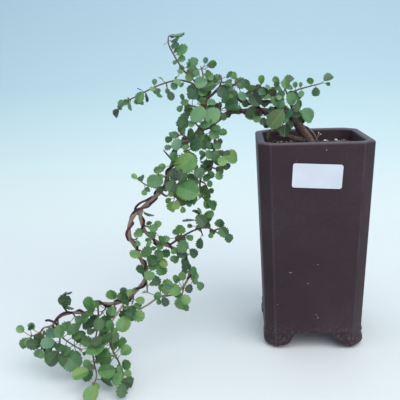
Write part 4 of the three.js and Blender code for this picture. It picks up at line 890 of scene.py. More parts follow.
for name, which, *places in handLeaves:
    grown = shoots[name]["grown"]
    which = len(grown) if which is None else which
    grown[which:which + 1] = [handLeaf(*places)]


# Leaf shapes: unit length along X, thin to the rim, with round teeth, folded along the midrib

leafShape = {"thickness": 0.022, "base": 0.62, "tip": 0.46, "widest": 0.4797, "half": 0.46, "thinner": 0.6,
             "waves": (17, 5), "tooth": ((0.28, 0.97), (0.66, 1.0))}
leafKinds = {  # teeth, columns, fold, droop, wave, twist, notch
    "leafA": (5, 1, 0.33, 0.06, 0.01, 0.0, 0.78),
    "leafB": (5, 1, 0.45, 0.13, 0.014, 0.1, 0.76),
    "leafC": (4, 1, 0.24, -0.04, 0.014, -0.12, 0.76),
    "leafD": (8, 3, 0.3, 0.08, 0.014, 0.04, 0.82),
}


def bladeOutline(share):
    share = min(max(share, 0.0), 1.0)
    return leafShape["half"] * share ** leafShape["base"] * (1 - share) ** leafShape["tip"] / leafShape["widest"]


def makeLeafShape(name, teeth, columns, fold, droop, wave, twist, notch):
    vertices, under, faces, uvs = [], [], [], []
    alongWaves, outWaves = leafShape["waves"]

    def addPoint(share, out, level):
        rise = abs(out) * fold - droop * share ** 2 + twist * out * share
        rise += wave * math.sin(share * alongWaves + out * outWaves) * abs(out) / leafShape["half"]
        vertices.append((share, out, rise + level))
        under.append(1.0 if level < 0 else 0.0)
        uvs.append((share, 0.5 + out))
        return len(vertices) - 1

    rows = [k / teeth for k in range(teeth + 1)]
    half = leafShape["thickness"] / 2
    steps = len(leafShape["tooth"]) + 1
    base, tip = addPoint(0, 0, 0), addPoint(1, 0, 0)
    rims = {}
    for hand in (1, -1):
        rim = [base]
        for k in range(teeth):
            if k > 0:
                rim.append(addPoint(rows[k], hand * bladeOutline(rows[k]) * notch, 0))
            for along, out in leafShape["tooth"]:
                share = (k + along) / teeth
                rim.append(addPoint(share, hand * bladeOutline(share) * out, 0))
        rims[hand] = rim + [tip]
    for level in (half, -half):
        middle = [base] + [addPoint(row, 0, level) for row in rows[1:-1]] + [tip]
        for hand in (1, -1):
            inner = middle
            for column in range(1, columns):
                share = column / columns
                thin = level * (1 - share * leafShape["thinner"])
                outer = [base] + [addPoint(row, hand * bladeOutline(row) * notch * share, thin)
                                  for row in rows[1:-1]] + [tip]
                faces += [[inner[k], outer[k], outer[k + 1], inner[k + 1]] for k in range(teeth)]
                inner = outer
            faces += [[inner[k], *rims[hand][steps * k:steps * k + steps + 1], inner[k + 1]] for k in range(teeth)]
    clean = [[v for n, v in enumerate(face) if v != face[n - 1]] for face in faces]
    made = newObject(name, vertices, [face for face in clean if len(set(face)) >= 3])
    mesh = made.data
    turnOutward(mesh)
    setAttribute(mesh, "under", under)
    layer = mesh.uv_layers.new(name="blade")
    for loop in mesh.loops:
        layer.data[loop.index].uv = uvs[loop.vertex_index]
    pairs = {frozenset(p) for hand in (1, -1) for p in zip(rims[hand], rims[hand][1:])}
    for line in mesh.edges:
        line.use_edge_sharp = frozenset(line.vertices) in pairs
    return made


leafShapes = bpy.data.collections.new("leafShapes")
bpy.context.scene.collection.children.link(leafShapes)
for name, values in leafKinds.items():
    shape = makeLeafShape(name, *values)
    bpy.context.scene.collection.objects.unlink(shape)
    leafShapes.objects.link(shape)


# Finishes of the plant. Colours are those of a screen, 0 to 255; a noise has scale, detail, roughness and stretch;
# a bump has depth in metres and strength

# among the leaf colours, the bluish green is a painted sheen that stands in for the sky's reflection
leafPaint = {"ramp": [(0.0, (18, 44, 18)), (0.25, (36, 76, 30)), (0.5, (58, 106, 46)), (0.75, (90, 140, 70)),
                      (1.0, (124, 156, 70))],
             "rim": (36, 76, 30), "cool": (94, 140, 116), "vein": (120, 160, 96), "under": (98, 132, 84),
             # the tone between the two halves of a blade is a painted light and shade of its fold
             "brown": (96, 78, 48), "patches": (260, 3), "quilt": (900, 2), "patchTone": 0.45, "foldLightAndShade": 0.1,
             "ribs": (6.5, 5.5), "ribWidth": 0.11, "veinShare": 0.22, "veinDepth": 0.8, "rimShare": 0.22,
             "underShare": 0.55, "rough": (0.38, 0.56), "bump": (0.0003, 0.7)}
stemPaint = {"green": [(0.3, (74, 72, 40)), (0.6, (110, 92, 58)), (0.8, (128, 104, 74))],
             "brown": [(0.3, (50, 38, 34)), (0.6, (86, 64, 56)), (0.8, (118, 94, 82))], "grain": (500, 4),
             "bump": (0.0002, 0.6)}
barkPaint = {"ramp": [(0.3, (44, 34, 31)), (0.42, (84, 68, 61)), (0.54, (138, 118, 106)), (0.68, (196, 178, 162))],
             "tan": (196, 178, 162), "orange": (132, 84, 48), "cut": (208, 184, 142), "shade": (26, 19, 18),
             "streaks": (60, 6, 0.62, (4.0, 22.0, 22.0)), "fine": (700, 5, 0.7), "patches": (90, 3), "streakShare": 0.6,
             "orangeShare": 0.75, "rough": (0.9, 0.66), "bump": (0.0007, 0.8)}
wirePaint = {"ramp": [(0.35, (30, 20, 26)), (0.6, (48, 33, 41)), (0.75, (86, 68, 76))], "wine": (100, 54, 72),
             "paleGrey": (128, 122, 116), "paleGreyAt": (4, 5.6, 214), "paleGreyReach": (0.006, 0.011), "paleGreyShare": 0.75,
             "scuffs": (420, 5, 0.65), "patches": (45, 2), "wineShare": 0.7, "rough": (0.34, 0.6),
             "bump": (0.0001, 0.5)}


def makeLeafFinish():
    material, shader, place = newFinish("leafGreen", 0.5, **{"Specular IOR Level": 0.66})
    tone, cool, brown, below = (attributeOf(shader, name) for name in ("tone", "cool", "brown", "under"))
    split = partsOf(addNode(shader, "ShaderNodeUVMap", uv_map="blade").outputs["UV"])
    share, out = split["X"], maths("ABSOLUTE", minus(split["Y"], 0.5))
    patches = noiseOf(place, *leafPaint["patches"])
    # painted light and shade of the fold: one half of a blade is a little lighter than the other, and which one changes
    # from leaf to leaf
    half = spread(split["Y"], 0.485, 0.515, -leafPaint["foldLightAndShade"], leafPaint["foldLightAndShade"])
    tone = plus(tone, times(half, maths("SINE", times(tone, 91.0))))
    base = ramped(plus(tone, times(minus(patches, 0.5), leafPaint["patchTone"])), leafPaint["ramp"])
    # painted sky sheen: the leaves are mixed towards a bluish green that stands in for the sky's reflection
    base = mixed(cool, base, leafPaint["cool"])
    base = mixed(brown, base, leafPaint["brown"])
    ribsAlong, ribsOut = leafPaint["ribs"]
    ribLines = maths("PINGPONG", minus(times(share, ribsAlong), times(out, ribsOut)), 0.5)
    sideVeins = times(spread(ribLines, 0.0, leafPaint["ribWidth"], 1.0, 0.0), spread(out, 0.44, 0.2, 0.2, 0.8))
    veins = maths("MAXIMUM", sideVeins, spread(out, 0.012, 0.04, 1.0, 0.0))
    base = mixed(times(veins, leafPaint["veinShare"]), base, leafPaint["vein"])
    base = mixed(spread(out, 0.25, 0.46, 0.0, leafPaint["rimShare"]), base, leafPaint["rim"])
    base = mixed(times(below, leafPaint["underShare"]), base, leafPaint["under"])
    quilt = minus(noiseOf(place, *leafPaint["quilt"]), times(veins, leafPaint["veinDepth"]))
    dress(shader, base, spread(patches, 0.3, 0.7, *leafPaint["rough"]), quilt, *leafPaint["bump"])
    return material


def makeStemFinish():
    material, shader, place = newFinish("youngStem", 0.62)
    grain = noiseOf(place, *stemPaint["grain"])
    base = mixed(attributeOf(shader, "age"), ramped(grain, stemPaint["brown"]), ramped(grain, stemPaint["green"]))
    dress(shader, base, None, grain, *stemPaint["bump"])
    return material


def makeBarkFinish():
    material, shader, place = newFinish("bark", 0.8)
    kind, warm, dim = (attributeOf(shader, name) for name in ("pale", "warm", "dim"))
    streaks = noiseOf(attributeOf(shader, "grain", "Vector"), *barkPaint["streaks"])
    patches = noiseOf(place, *barkPaint["patches"])
    value = plus(times(streaks, barkPaint["streakShare"]),
                 times(noiseOf(place, *barkPaint["fine"]), 1 - barkPaint["streakShare"]))
    base = ramped(value, barkPaint["ramp"])
    # painted shade: the bark is darkened towards the shade colour where the limbs lie under the foliage, together with
    # the darker old bark near the base
    base = mixed(times(dim, spread(value, 0.35, 0.7, 1.0, 0.62)), base, barkPaint["shade"])
    # the bark is mixed towards orange in patches, much more on the lit side of the lower trunk, where it is painted
    # light
    base = mixed(times(spread(patches, 0.42, 0.6), times(warm, barkPaint["orangeShare"])), base, barkPaint["orange"])
    base = mixed(kind, base, mixed(streaks, barkPaint["tan"], barkPaint["cut"]))
    dress(shader, base, spread(value, 0.3, 0.7, *barkPaint["rough"]), value, *barkPaint["bump"])
    return material


def makeWireFinish():
    material, shader, place = newFinish("darkWire", 0.4, Metallic=0.35)
    scuffs, patches = noiseOf(place, *wirePaint["scuffs"]), noiseOf(place, *wirePaint["patches"])
    base = mixed(spread(patches, 0.46, 0.62, 0.0, wirePaint["wineShare"]), ramped(scuffs, wirePaint["ramp"]),
                 wirePaint["wine"])
    # the strand that leaves the soil is a paler grey
    away = addNode(place, "ShaderNodeVectorMath", {0: place, 1: tuple(toMetres(wirePaint["paleGreyAt"])[0])},
                   operation="DISTANCE").outputs["Value"]
    base = mixed(spread(away, *wirePaint["paleGreyReach"], wirePaint["paleGreyShare"], 0.0), base, wirePaint["paleGrey"])
    dress(shader, base, spread(scuffs, 0.3, 0.7, *wirePaint["rough"]), scuffs, *wirePaint["bump"])
    return material


leafGreen, youngStem, bark, darkWire = makeLeafFinish(), makeStemFinish(), makeBarkFinish(), makeWireFinish()


# Node trees: a line becomes a round tube with closed ends; a shoot's lines become stems, its loose points leaves

def tubeOf(tree, lines, sides):
    line = geometryOf(tree, "MeshToCurve", {"Mesh": lines})
    ring = geometryOf(tree, "CurvePrimitiveCircle", {"Resolution": sides, "Radius": 1.0})
    tube = geometryOf(tree, "CurveToMesh", {
        "Curve": line, "Profile Curve": ring, "Scale": namedValue(tree, "width"), "Fill Caps": True})
    return geometryOf(tree, "SetShadeSmooth", {"Geometry": tube})


def finished(tree, geometry, finish):
    real = geometryOf(tree, "RealizeInstances", {"Geometry": geometry})
    return geometryOf(tree, "SetMaterial", {"Geometry": real, "Material": finish})


def childrenOf(tree, collection):
    return geometryOf(tree, "CollectionInfo", {
        "Collection": collection, "Separate Children": True, "Reset Children": True})


def makeShootTree():
    tree, start, end = newTree("leafyShoot", {
        "Leaf Shapes": "Collection", "Stem Sides": "Int", "Stem Finish": "Material", "Leaf Finish": "Material"})
    parted = addNode(tree, "GeometryNodeSeparateGeometry", {
        "Geometry": start["Geometry"], "Selection": namedValue(tree, "isLeaf", "BOOLEAN")}, domain="POINT")
    stems = tubeOf(tree, parted.outputs["Inverted"], start["Stem Sides"])
    leaves = geometryOf(tree, "InstanceOnPoints", {
        "Points": parted.outputs["Selection"], "Instance": childrenOf(tree, start["Leaf Shapes"]),
        "Pick Instance": True, "Instance Index": namedValue(tree, "leafKind", "INT"),
        "Rotation": namedValue(tree, "leafTurn", "FLOAT_VECTOR"),
        "Scale": namedValue(tree, "leafSize", "FLOAT_VECTOR")})
    joined = addNode(tree, "GeometryNodeJoinGeometry")
    for part in (finished(tree, leaves, start["Leaf Finish"]), finished(tree, stems, start["Stem Finish"])):
        tree.links.new(part, joined.inputs["Geometry"])
    tree.links.new(joined.outputs["Geometry"], end.inputs["Geometry"])
    return tree


def makeTubeTree():
    tree, start, end = newTree("roundTube", {"Sides": "Int", "Finish": "Material"})
    tube = tubeOf(tree, start["Geometry"], start["Sides"])
    tree.links.new(finished(tree, tube, start["Finish"]), end.inputs["Geometry"])
    return tree


shootTree, tubeTree = makeShootTree(), makeTubeTree()


def lineParts(lines):
    # each line is a list of points in millimetres with a radius for each
    vertices, edges, widths = [], [], []
    for points, radii in lines:
        first = len(vertices)
        vertices += list(toMetres(points))
        widths += [r * 0.001 for r in radii]
        edges += [(first + k, first + k + 1) for k in range(len(points) - 1)]
    return vertices, edges, widths


def tubePiece(name, lines, sides, finish):
    vertices, edges, widths = lineParts(lines)
    made = newObject(name, vertices, [], edges)
    setAttribute(made.data, "width", widths)
    return grownBy(made, tubeTree, {"Sides": sides, "Finish": finish})


# Leaves with a set tone: tone, painted sky sheen and brown, and the places of the leaves in front view

leafTones = {
    "olive": ((0.62, 0.0, 0.22), [(-123, 278), (-53, 234), (-126, 206), (-198, 68), (-229, -6), (-257, -3),
                        (-188, 45)]),
    "cool": ((0.6, 0.7, 0.0), [(-114, 269), (-92, 275), (-73, 256), (-70, 271), (-25, 234), (-136, 215), (-261, 39),
                       (-194, 64)]),
    "light": ((0.84, 0.1, 0.0), [(-63, 261), (-51, 269), (-209, 7), (-283, 45), (-134, 56), (-128, 196), (-87, 198),
                        (-119, 284), (-243, 11), (-223, -22)]),
    "mid": ((0.55, 0.25, 0.0), [(-156, 179), (-157, 184), (-216, 26), (-237, 21)]),
    "brown": ((0.4, 0.0, 0.7), [(-77, 265)]),
    "dark": ((0.1, 0.05, 0.0), [(-109, 226), (-26, 224), (-18, 239), (-120, 209), (-136, 187), (-129, 89), (-209, 28),
                        (-247, 29), (-219, 49), (-150, 91), (-195, -5)]),
    "young": ((0.98, 0.0, 0.0), [(-140, 156), (-156, 91)]),
    "pale": ((0.86, 0.5, 0.0), [(-112, 239), (-101, 239)]),
    "deepOlive": ((0.42, 0.0, 0.24), [(-36.5, 234.5)]),
}
# the painted sky sheen of the leaves grows with their height and with their tone
leafLook = {"seed": 5, "tone": (0.08, 0.79), "cool": 0.58, "sheenFrom": 150, "sheenOver": 130, "sheenLeast": 0.25,
            "sheenOnDark": 0.45, "sheenMore": 0.75, "bigLeaf": 14.5, "youngLeaf": 8, "youngTone": 0.12, "toneReach": 4.5,
            "leastToned": 6, "scale": 0.00105, "broad": (0.93, 0.17), "stemSteps": 4, "stemSides": 7, "stemTip": 0.6,
            "petiole": (0.42, 0.34, 0.3), "petioleAges": [0.7, 0.9, 1.0], "sag": 0.06, "foot": (0.06, -0.15),
            "bend": (1.4, 0.6), "ages": (0.1, 0.45, 0.7),
            # x, z, reach and change of tone of larger areas: painted light and shade, darker where the leaves lie in
            # shade under the limbs, lighter where more light reaches them
            "paintedLightAreas": [(-205, 12, 32, 0.13), (-165, 118, 22, 0.1), (-165, 72, 24, 0.11), (-250, 10, 30, 0.06),
                      (-40, 232, 25, -0.12), (-85, 195, 25, -0.12), (0, 268, 22, 0.12), (-120, 235, 22, 0.1)]}


def toneOf(leaf, chance):
    look = leafLook
    low, high = look["tone"]
    spot = onLeaf(leaf, 0.5, 0, 0)
    tone = low + (high - low) * next(chance)
    # painted sky sheen, more on leaves higher up and on brighter leaves, where more light from above falls
    lift = max(0.0, min(1.0, (spot[2] - look["sheenFrom"]) / look["sheenOver"]))
    cool = (look["cool"] * next(chance) * (look["sheenLeast"] + look["sheenMore"] * lift)
            * (look["sheenOnDark"] + look["sheenMore"] * tone))
    if leaf["length"] < look["youngLeaf"]:
        tone += look["youngTone"]
    # painted light and shade of larger areas of leaves
    for x, z, reach, change in look["paintedLightAreas"]:
        tone += change * math.exp(-((spot[0] - x) ** 2 + (spot[2] - z) ** 2) / reach ** 2)
    values = (tone, cool, 0.0)
    for own, places in leafTones.values():
        away = min(math.hypot(spot[0] - x, spot[2] - z) for x, z in places)
        if leaf["length"] > look["leastToned"] and away < look["toneReach"]:
            values = own
    return values


def stemLines(shoot):
    # stems and petioles, and the age of each of their points, from 0 for brown to 1 for green
    lines, ages = [], []
    old, young, more = leafLook["ages"]
    for stem in shoot["stems"]:
        points, widths = smoothPath(stem, leafLook["stemSteps"])
        widths[-1] *= leafLook["stemTip"]
        lines.append((points, widths))
        first = old if len(stem[0]) > 3 else young
        ages += [min(1.0, first + more * k / len(points)) for k in range(len(points))]
    for leaf in shoot["grown"]:
        foot = onLeaf(leaf, leafLook["foot"][0], 0, leafLook["foot"][1])
        a, b = leafLook["bend"]
        middle = (leaf["from"] + leaf["root"] * a + foot * b) / 3 - up * leafLook["sag"] * leaf["petiole"]
        lines.append((np.array([leaf["from"], middle, foot]), leafLook["petiole"]))
        ages += leafLook["petioleAges"]
    return lines, ages


def shootPiece(name, shoot, chance):
    lines, ages = stemLines(shoot)
    places, edges, widths = lineParts(lines)
    count, added = len(places), len(shoot["grown"])
    turns, sizes, kinds, tones = [], [], [], []
    for leaf in shoot["grown"]:
        places.append(toMetres(onLeaf(leaf, 0, 0, 0))[0])
        turns.append(tuple(Matrix(np.array([leaf["along"], -leaf["side"], leaf["off"]]).T.tolist()).to_euler()))
        size = leaf["length"] * leafLook["scale"]
        broad = leafLook["broad"][0] + leafLook["broad"][1] * next(chance)
        sizes.append((size, size * broad, size))
        kinds.append(3 if leaf["length"] > leafLook["bigLeaf"] else int(next(chance) * 2.999))
        tones.append(toneOf(leaf, chance))
    made = newObject(name + "_fine", places, [], edges)
    mesh = made.data
    setAttribute(mesh, "width", widths + [0.0] * added)
    setAttribute(mesh, "age", ages + [0.0] * added)
    setAttribute(mesh, "isLeaf", [0] * count + [1] * added, "BOOLEAN")
    setAttribute(mesh, "leafKind", [0] * count + kinds, "INT")
    setAttribute(mesh, "leafTurn", [(0, 0, 0)] * count + turns, "FLOAT_VECTOR")
    setAttribute(mesh, "leafSize", [(1, 1, 1)] * count + sizes, "FLOAT_VECTOR")
    for n, key in enumerate(("tone", "cool", "brown")):
        setAttribute(mesh, key, [0.0] * count + [t[n] for t in tones])
    grownBy(made, shootTree, {"Leaf Shapes": leafShapes, "Stem Sides": leafLook["stemSides"],
                              "Stem Finish": youngStem, "Leaf Finish": leafGreen})
    for key in ("isLeaf", "leafKind", "leafTurn", "leafSize", "width"):
        if key in made.data.attributes:
            made.data.attributes.remove(made.data.attributes[key])
    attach(made, "root")
    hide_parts(name)
    return made


toneChance = generator(leafLook["seed"])
finePieces = [shootPiece(name, shoot, toneChance) for name, shoot in shoots.items()]
print("shoots:", len(finePieces), "faces", sum(len(piece.data.polygons) for piece in finePieces))


# Trunk and branches: tubes joined into one skin, with bark ridges along the limbs

wood = {"sides": 14, "voxel": 0.5, "perSpan": 8, "ridge": 0.34, "lump": 0.34, "fullBark": 2.6, "collar": (0.3, 3.0),
        "swell": (0.1, 9), "slim": (276.0, 8.0, 0.3), "soften": (0.5, 3), "cutLength": 3.0, "lit": (60, 0.5),
        "ridgeScale": (0.16, 0.85), "lumpScale": (0.3, 0.25), "paleFrom": (240, 0.1), "warm": (0.08, 0.7),
        "litDark": 0.6, "darkElse": 0.1,
        # how far each limb's bark is darkened: partly painted shade under the foliage, partly the darker old bark near
        # the base
        "dark": {"root": 0.95, "dead_twig": 0.9, "upper_limb": 0.75, "crown": 0.85, "crown_left": 0.75,
                 "trunk_shoot": 0.8},
        "pale": {"tan_twig": 0.75, "right_limb": 0.26},
        "knots": {"crown_knot": [(-105, -14, 250, 1.4), (-109.5, -16, 249.5, 1.2), (-114, -18, 251, 1.5)]},
        "darkAlong": [(0, 0.95), (60, 0.8), (140, 0.85), (185, 0.45), (230, 0.12), (500, 0.0)]}


def woodLines():
    # the limbs' tubes, and for each of their points what the bark needs to know
    samples, lines = [], []
    for name, path in {**limbPoints, **wood["knots"]}.items():
        points, widths = smoothPath(path, wood["perSpan"])
        length = lengthsAlong(points)
        more, span = wood["swell"]
        widths = widths * np.array([1 + more * noise.noise(Vector((s / span, len(name), 0))) for s in length])
        if name == "cascade":
            at, reach, less = wood["slim"]
            widths = widths * (1 - less * np.exp(-((length - at) / reach) ** 2))
        else:
            more, reach = wood["collar"]
            widths = widths * (1 + more * np.exp(-length / reach))
        lines.append((points, widths))
        samples += [(name, points[k], length[k], length[-1], widths[k], *across(points, k))
                    for k in range(len(points))]
    return samples, lines


def woodPiece():
    samples, lines = woodLines()
    made = tubePiece("trunkAndBranches", lines, wood["sides"], bark)
    modifier = made.modifiers.new("skin", "REMESH")
    modifier.mode, modifier.voxel_size, modifier.use_smooth_shade = "VOXEL", wood["voxel"] * 0.001, True
    soften = made.modifiers.new("soften", "SMOOTH")
    soften.factor, soften.iterations = wood["soften"]
    bakedDown(made, bark)
    mesh = made.data
    tree = kdtree.KDTree(len(samples))
    for k, sample in enumerate(samples):
        tree.insert(Vector(sample[1]), k)
    tree.balance()
    turnOutward(mesh, merge=True)
    normals = np.array([v.normal for v in mesh.vertices])
    inPot = (np.array([v.co for v in mesh.vertices]) - potPlace) * 1000
    (ridgeAlong, ridgeOut), (lumpAlong, lumpOut) = wood["ridgeScale"], wood["lumpScale"]
    paleFrom, paleEnd = wood["paleFrom"]
    grain, pale, warm, dim = [], [], [], []
    for k, spot in enumerate(inPot):
        name, middle, s, total, radius, side, rise = samples[tree.find(Vector(spot))[1]]
        arm = spot - middle
        a, b = float(arm @ side), float(arm @ rise)
        grain.append((s * 0.001, a * 0.001, b * 0.001))
        seed = len(name) * 7.0
        ridge = noise.noise(Vector((s * ridgeAlong + seed, a * ridgeOut, b * ridgeOut)))
        lump = noise.noise(Vector((s * lumpAlong, a * lumpOut + seed, b * lumpOut)))
        size = min(1.0, radius / wood["fullBark"])
        inPot[k] += normals[k] * (wood["ridge"] * ridge + wood["lump"] * lump) * size
        cut = 1.0 if name in ("stub", "crown_knot") and s > total - wood["cutLength"] else 0.0
        pale.append(max(cut, wood["pale"].get(name, paleEnd if name == "cascade" and s > paleFrom else 0.0)))
        # painted light on the lit side of the lower trunk: the bark there is warmer orange and has less of the painted
        # shade
        lit = name == "cascade" and s < wood["lit"][0] and side @ arm < -wood["lit"][1] * radius
        warm.append(wood["warm"][lit])
        # how dark the bark is here: partly the darker old bark near the base, partly painted shade under the foliage
        # and behind the leaves
        dark = wood["dark"].get(name, wood["darkElse"])
        if name == "cascade":
            dark = np.interp(s, *zip(*wood["darkAlong"]))
        dim.append(dark * (wood["litDark"] if lit else 1.0))
    mesh.vertices.foreach_set("co", toMetres(inPot).ravel())
    mesh.update()
    setAttribute(mesh, "grain", grain, "FLOAT_VECTOR")
    for key, values in {"pale": pale, "warm": warm, "dim": dim}.items():
        setAttribute(mesh, key, values)
    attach(made, "root")
    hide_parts("trunk_and_branches")
    return made


trunk = woodPiece()
print("wood faces:", len(trunk.data.polygons))


# Stretches that were bent, given one by one: which turns of the coil each one takes the place of, and its points

wireBends = {
    "training_wire_main": [
        (0, 0.56, [(8, 7, 172), (8, 7, 190), (6.8, 6, 206), (6.2, 6, 209.1), (4.2, 5.6, 213.4), (1.2, 5.2, 217.4),
            (-2.6, 5.8, 220.6), (-7.2, 7.2, 223), (-12, 6.6, 227)]),
        (9.5, 12.5, [(-156.5, -38.8, 167.5), (-158.8, -37.8, 164.4), (-158.4, -37.6, 161.5), (-156.3, -40.6, 160.4),
            (-158.2, -43.6, 158.5), (-161.5, -45.8, 156), (-164.1, -49, 153.8), (-168.1, -51, 153.1),
            (-171.9, -51.8, 152.6), (-175.7, -51, 151.2), (-179.1, -50, 148.1), (-181.6, -49.4, 144.5),
            (-182.6, -49.8, 141.3), (-180.8, -50.4, 139), (-179.5, -52.6, 137.6), (-181.4, -55.8, 135.4),
            (-184.6, -56.2, 132.3), (-186.5, -55.4, 128.3), (-186.2, -54.6, 123.9)]),
        (18.75, 99, [(-239.2, -89.2, 59.2), (-242.1, -89.5, 59.7), (-245.5, -92.4, 59.9), (-249.1, -93.6, 57.8),
            (-252.5, -93.2, 54.2), (-255.7, -90.6, 49.5), (-257.4, -90, 46), (-255.9, -93, 45.2), (-252.6, -96.2, 47),
            (-251, -98, 50.4), (-252.1, -98.6, 53), (-255.1, -98.8, 54.8), (-258.3, -99, 55.9),
            (-261.2, -99.2, 55.4)]),
    ],
    "training_wire_side": [
        (-1, 0.2, [(-156.8, -40.2, 161.1), (-160, -41.4, 162), (-162.8, -45.8, 161.3), (-166.7, -48.2, 159.7),
            (-171.1, -49.2, 158), (-174.8, -49.2, 155.3), (-177.5, -47.8, 151.4), (-177.7, -44.8, 146.9)]),
    ],
}


def softLine(points, steps):
    points = np.array(points, float)
    ends = [points[0] * 2 - points[1], *points, points[-1] * 2 - points[-2]]
    made = []
    for a, b, c, d in zip(ends, ends[1:], ends[2:], ends[3:]):
        for t in np.arange(steps) / steps:
            made.append(b + 0.5 * t * (c - a + t * (2 * a - 5 * b + 4 * c - d + t * (3 * b - a - 3 * c + d))))
    return made + [points[-1]]


bendJoin, bendSteps = 6, 5


def bentWire(name, run):
    steps = wire["fineSteps"]
    coil = wirePoints({**run, "before": [], "after": []}, steps, wire["thick"] - wire["radius"])
    parts, done = [], 0
    for first, last, points in wireBends[name]:
        low, high = max(0, round(first * steps)), max(0, round(last * steps))
        start = max(done, low - bendJoin)
        near = [*coil[start:low:bendSteps], *map(np.array, points), *coil[high:high + bendJoin:bendSteps]]
        parts += [*coil[done:start], *softLine(near, bendSteps)]
        done = high + bendJoin
    return np.array([*parts, *coil[done:]])


for wireName, run in wireRuns.items():
    coil = bentWire(wireName, run)
    widths = np.full(len(coil), wire["thick"])
    widths[0] = widths[-1] = wire["end"]
    wirePiece = tubePiece(wireName + "_fine", [(coil, widths)], wire["sides"], darkWire)
    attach(wirePiece, "root")
    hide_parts(wireName)
    print("wire faces:", len(wirePiece.data.polygons))


# Pot: a chamfered square that widens upward, with rounded lips and four cloud feet

cornerSteps, lipSteps, archSteps, drainSteps = 3, 4, 7, 32
archFoot, throughPot, throughFloor = (38, -5), (-80, 80), (-30, 40)
# the bulge of the feet and of the pot's lower edge: height and how far it stands out
footBulge = [(0, -3.4), (0.5, -1.9), (1.4, -0.6), (2.8, 0.6), (4.6, 1.4), (7, 1.8), (9.5, 1.7), (12, 1.2), (14, 0.6),
             (15.5, 0.4), (17, 0.9), (18.6, 0.9), (20.5, 0.3), (23, 0)]
# the opening between two feet: flat above, then a sloping side, a low lobe and the knob of the foot
archCurves = (((17.5, 17.5), (21, 14.2), (23.5, 9.2)), ((23.5, 9.2), (27, 3.2), (35.5, 3.4)),
              ((35.5, 3.4), (35.5, 0.4), (38, 0)))
# pale scratches on the front face: x, z, how wide and how tall
potScratches = [(-24.5, 84.3, 1.5, 0.8), (2.3, 92.7, 1.4, 0.6), (-37.8, 49.6, 1.5, 0.45), (1.8, 38.0, 0.7, 0.9),
                (3.4, 34.8, 0.7, 1.6), (-7, 72.5, 0.6, 0.6), (8, 207.4, 0.6, 0.8), (-20, 198, 0.8, 0.4)]
# the pale edge colour of the clay is a painted highlight, on the chamfer edges and on the top of the rim
clayPaint = {"ramp": [(0.38, (40, 26, 34)), (0.52, (50, 34, 42)), (0.68, (62, 48, 58))],
             "dust": (150, 140, 146), "edge": (112, 104, 116), "broken": (60, 5, 0.65, (1.0, 1.0, 0.35)),
             "clouds": (14, 4), "fine": (420, 6, 0.7), "specks": (300, 8, 0.75), "cloudShare": 0.6, "edgeHighlightShare": 0.16,
             "dustShare": 0.22, "scratchShare": 0.8, "rough": (0.42, 0.66), "bump": (0.0005, 0.5)}


def potHalf(z):
    return (pot["footWidth"] + (pot["width"] - pot["footWidth"]) * z / pot["height"]) / 2


def potChamfer(z):
    return pot["chamferFoot"] + (pot["chamferTop"] - pot["chamferFoot"]) * z / pot["height"]


def quadratic(a, b, c, steps, first=0):
    shares = [k / steps for k in range(first, steps + 1)]
    return [tuple((1 - t) ** 2 * a[n] + 2 * t * (1 - t) * b[n] + t * t * c[n] for n in range(len(a))) for t in shares]


def quarterTurned(x, y, quarters):
    for turn in range(quarters):
        x, y = -y, x
    return x, y


def chamferedLoop(half, chamfer, z):
    corners = [np.array(quarterTurned(x, y, quarter)) for quarter in range(4)
               for x, y in ((half, half - chamfer), (half - chamfer, half))]
    loop = []
    for k, corner in enumerate(corners):
        reach = pot["fillet"] * math.tan(math.pi / 8)
        before = corner + unit(corners[k - 1] - corner) * reach
        after = corner + unit(corners[(k + 1) % 8] - corner) * reach
        loop += [(x, y, z) for x, y in quadratic(before, corner, after, cornerSteps)]
    return loop


def roundedLoop(half, corner, z, steps=2 * cornerSteps + 1):
    turns = [k / steps * math.pi / 2 for k in range(steps + 1)]
    arc = [(half - corner + corner * math.cos(a), half - corner + corner * math.sin(a)) for a in turns]
    return [(*quarterTurned(x, y, quarter), z) for quarter in range(4) for x, y in arc]


def skinOf(name, loops):
    count = len(loops[0])
    faces = [list(range(count))[::-1], [(len(loops) - 1) * count + k for k in range(count)]]
    faces += gridFaces(range(len(loops) - 1), count)
    made = newObject(name, toMetres([p for loop in loops for p in loop]), faces)
    turnOutward(made.data)
    return made


def archCutter(name, turned):
    right = [(archCurves[0][0][0], pot["underside"])]
    for a, b, c in archCurves:
        right += quadratic(a, b, c, archSteps, 1)
    right.append(archFoot)
    outline = right + [(-x, z) for x, z in reversed(right)]
    return skinOf(name, [[(-y, x, z) if turned else (x, y, z) for x, z in outline] for y in throughPot])


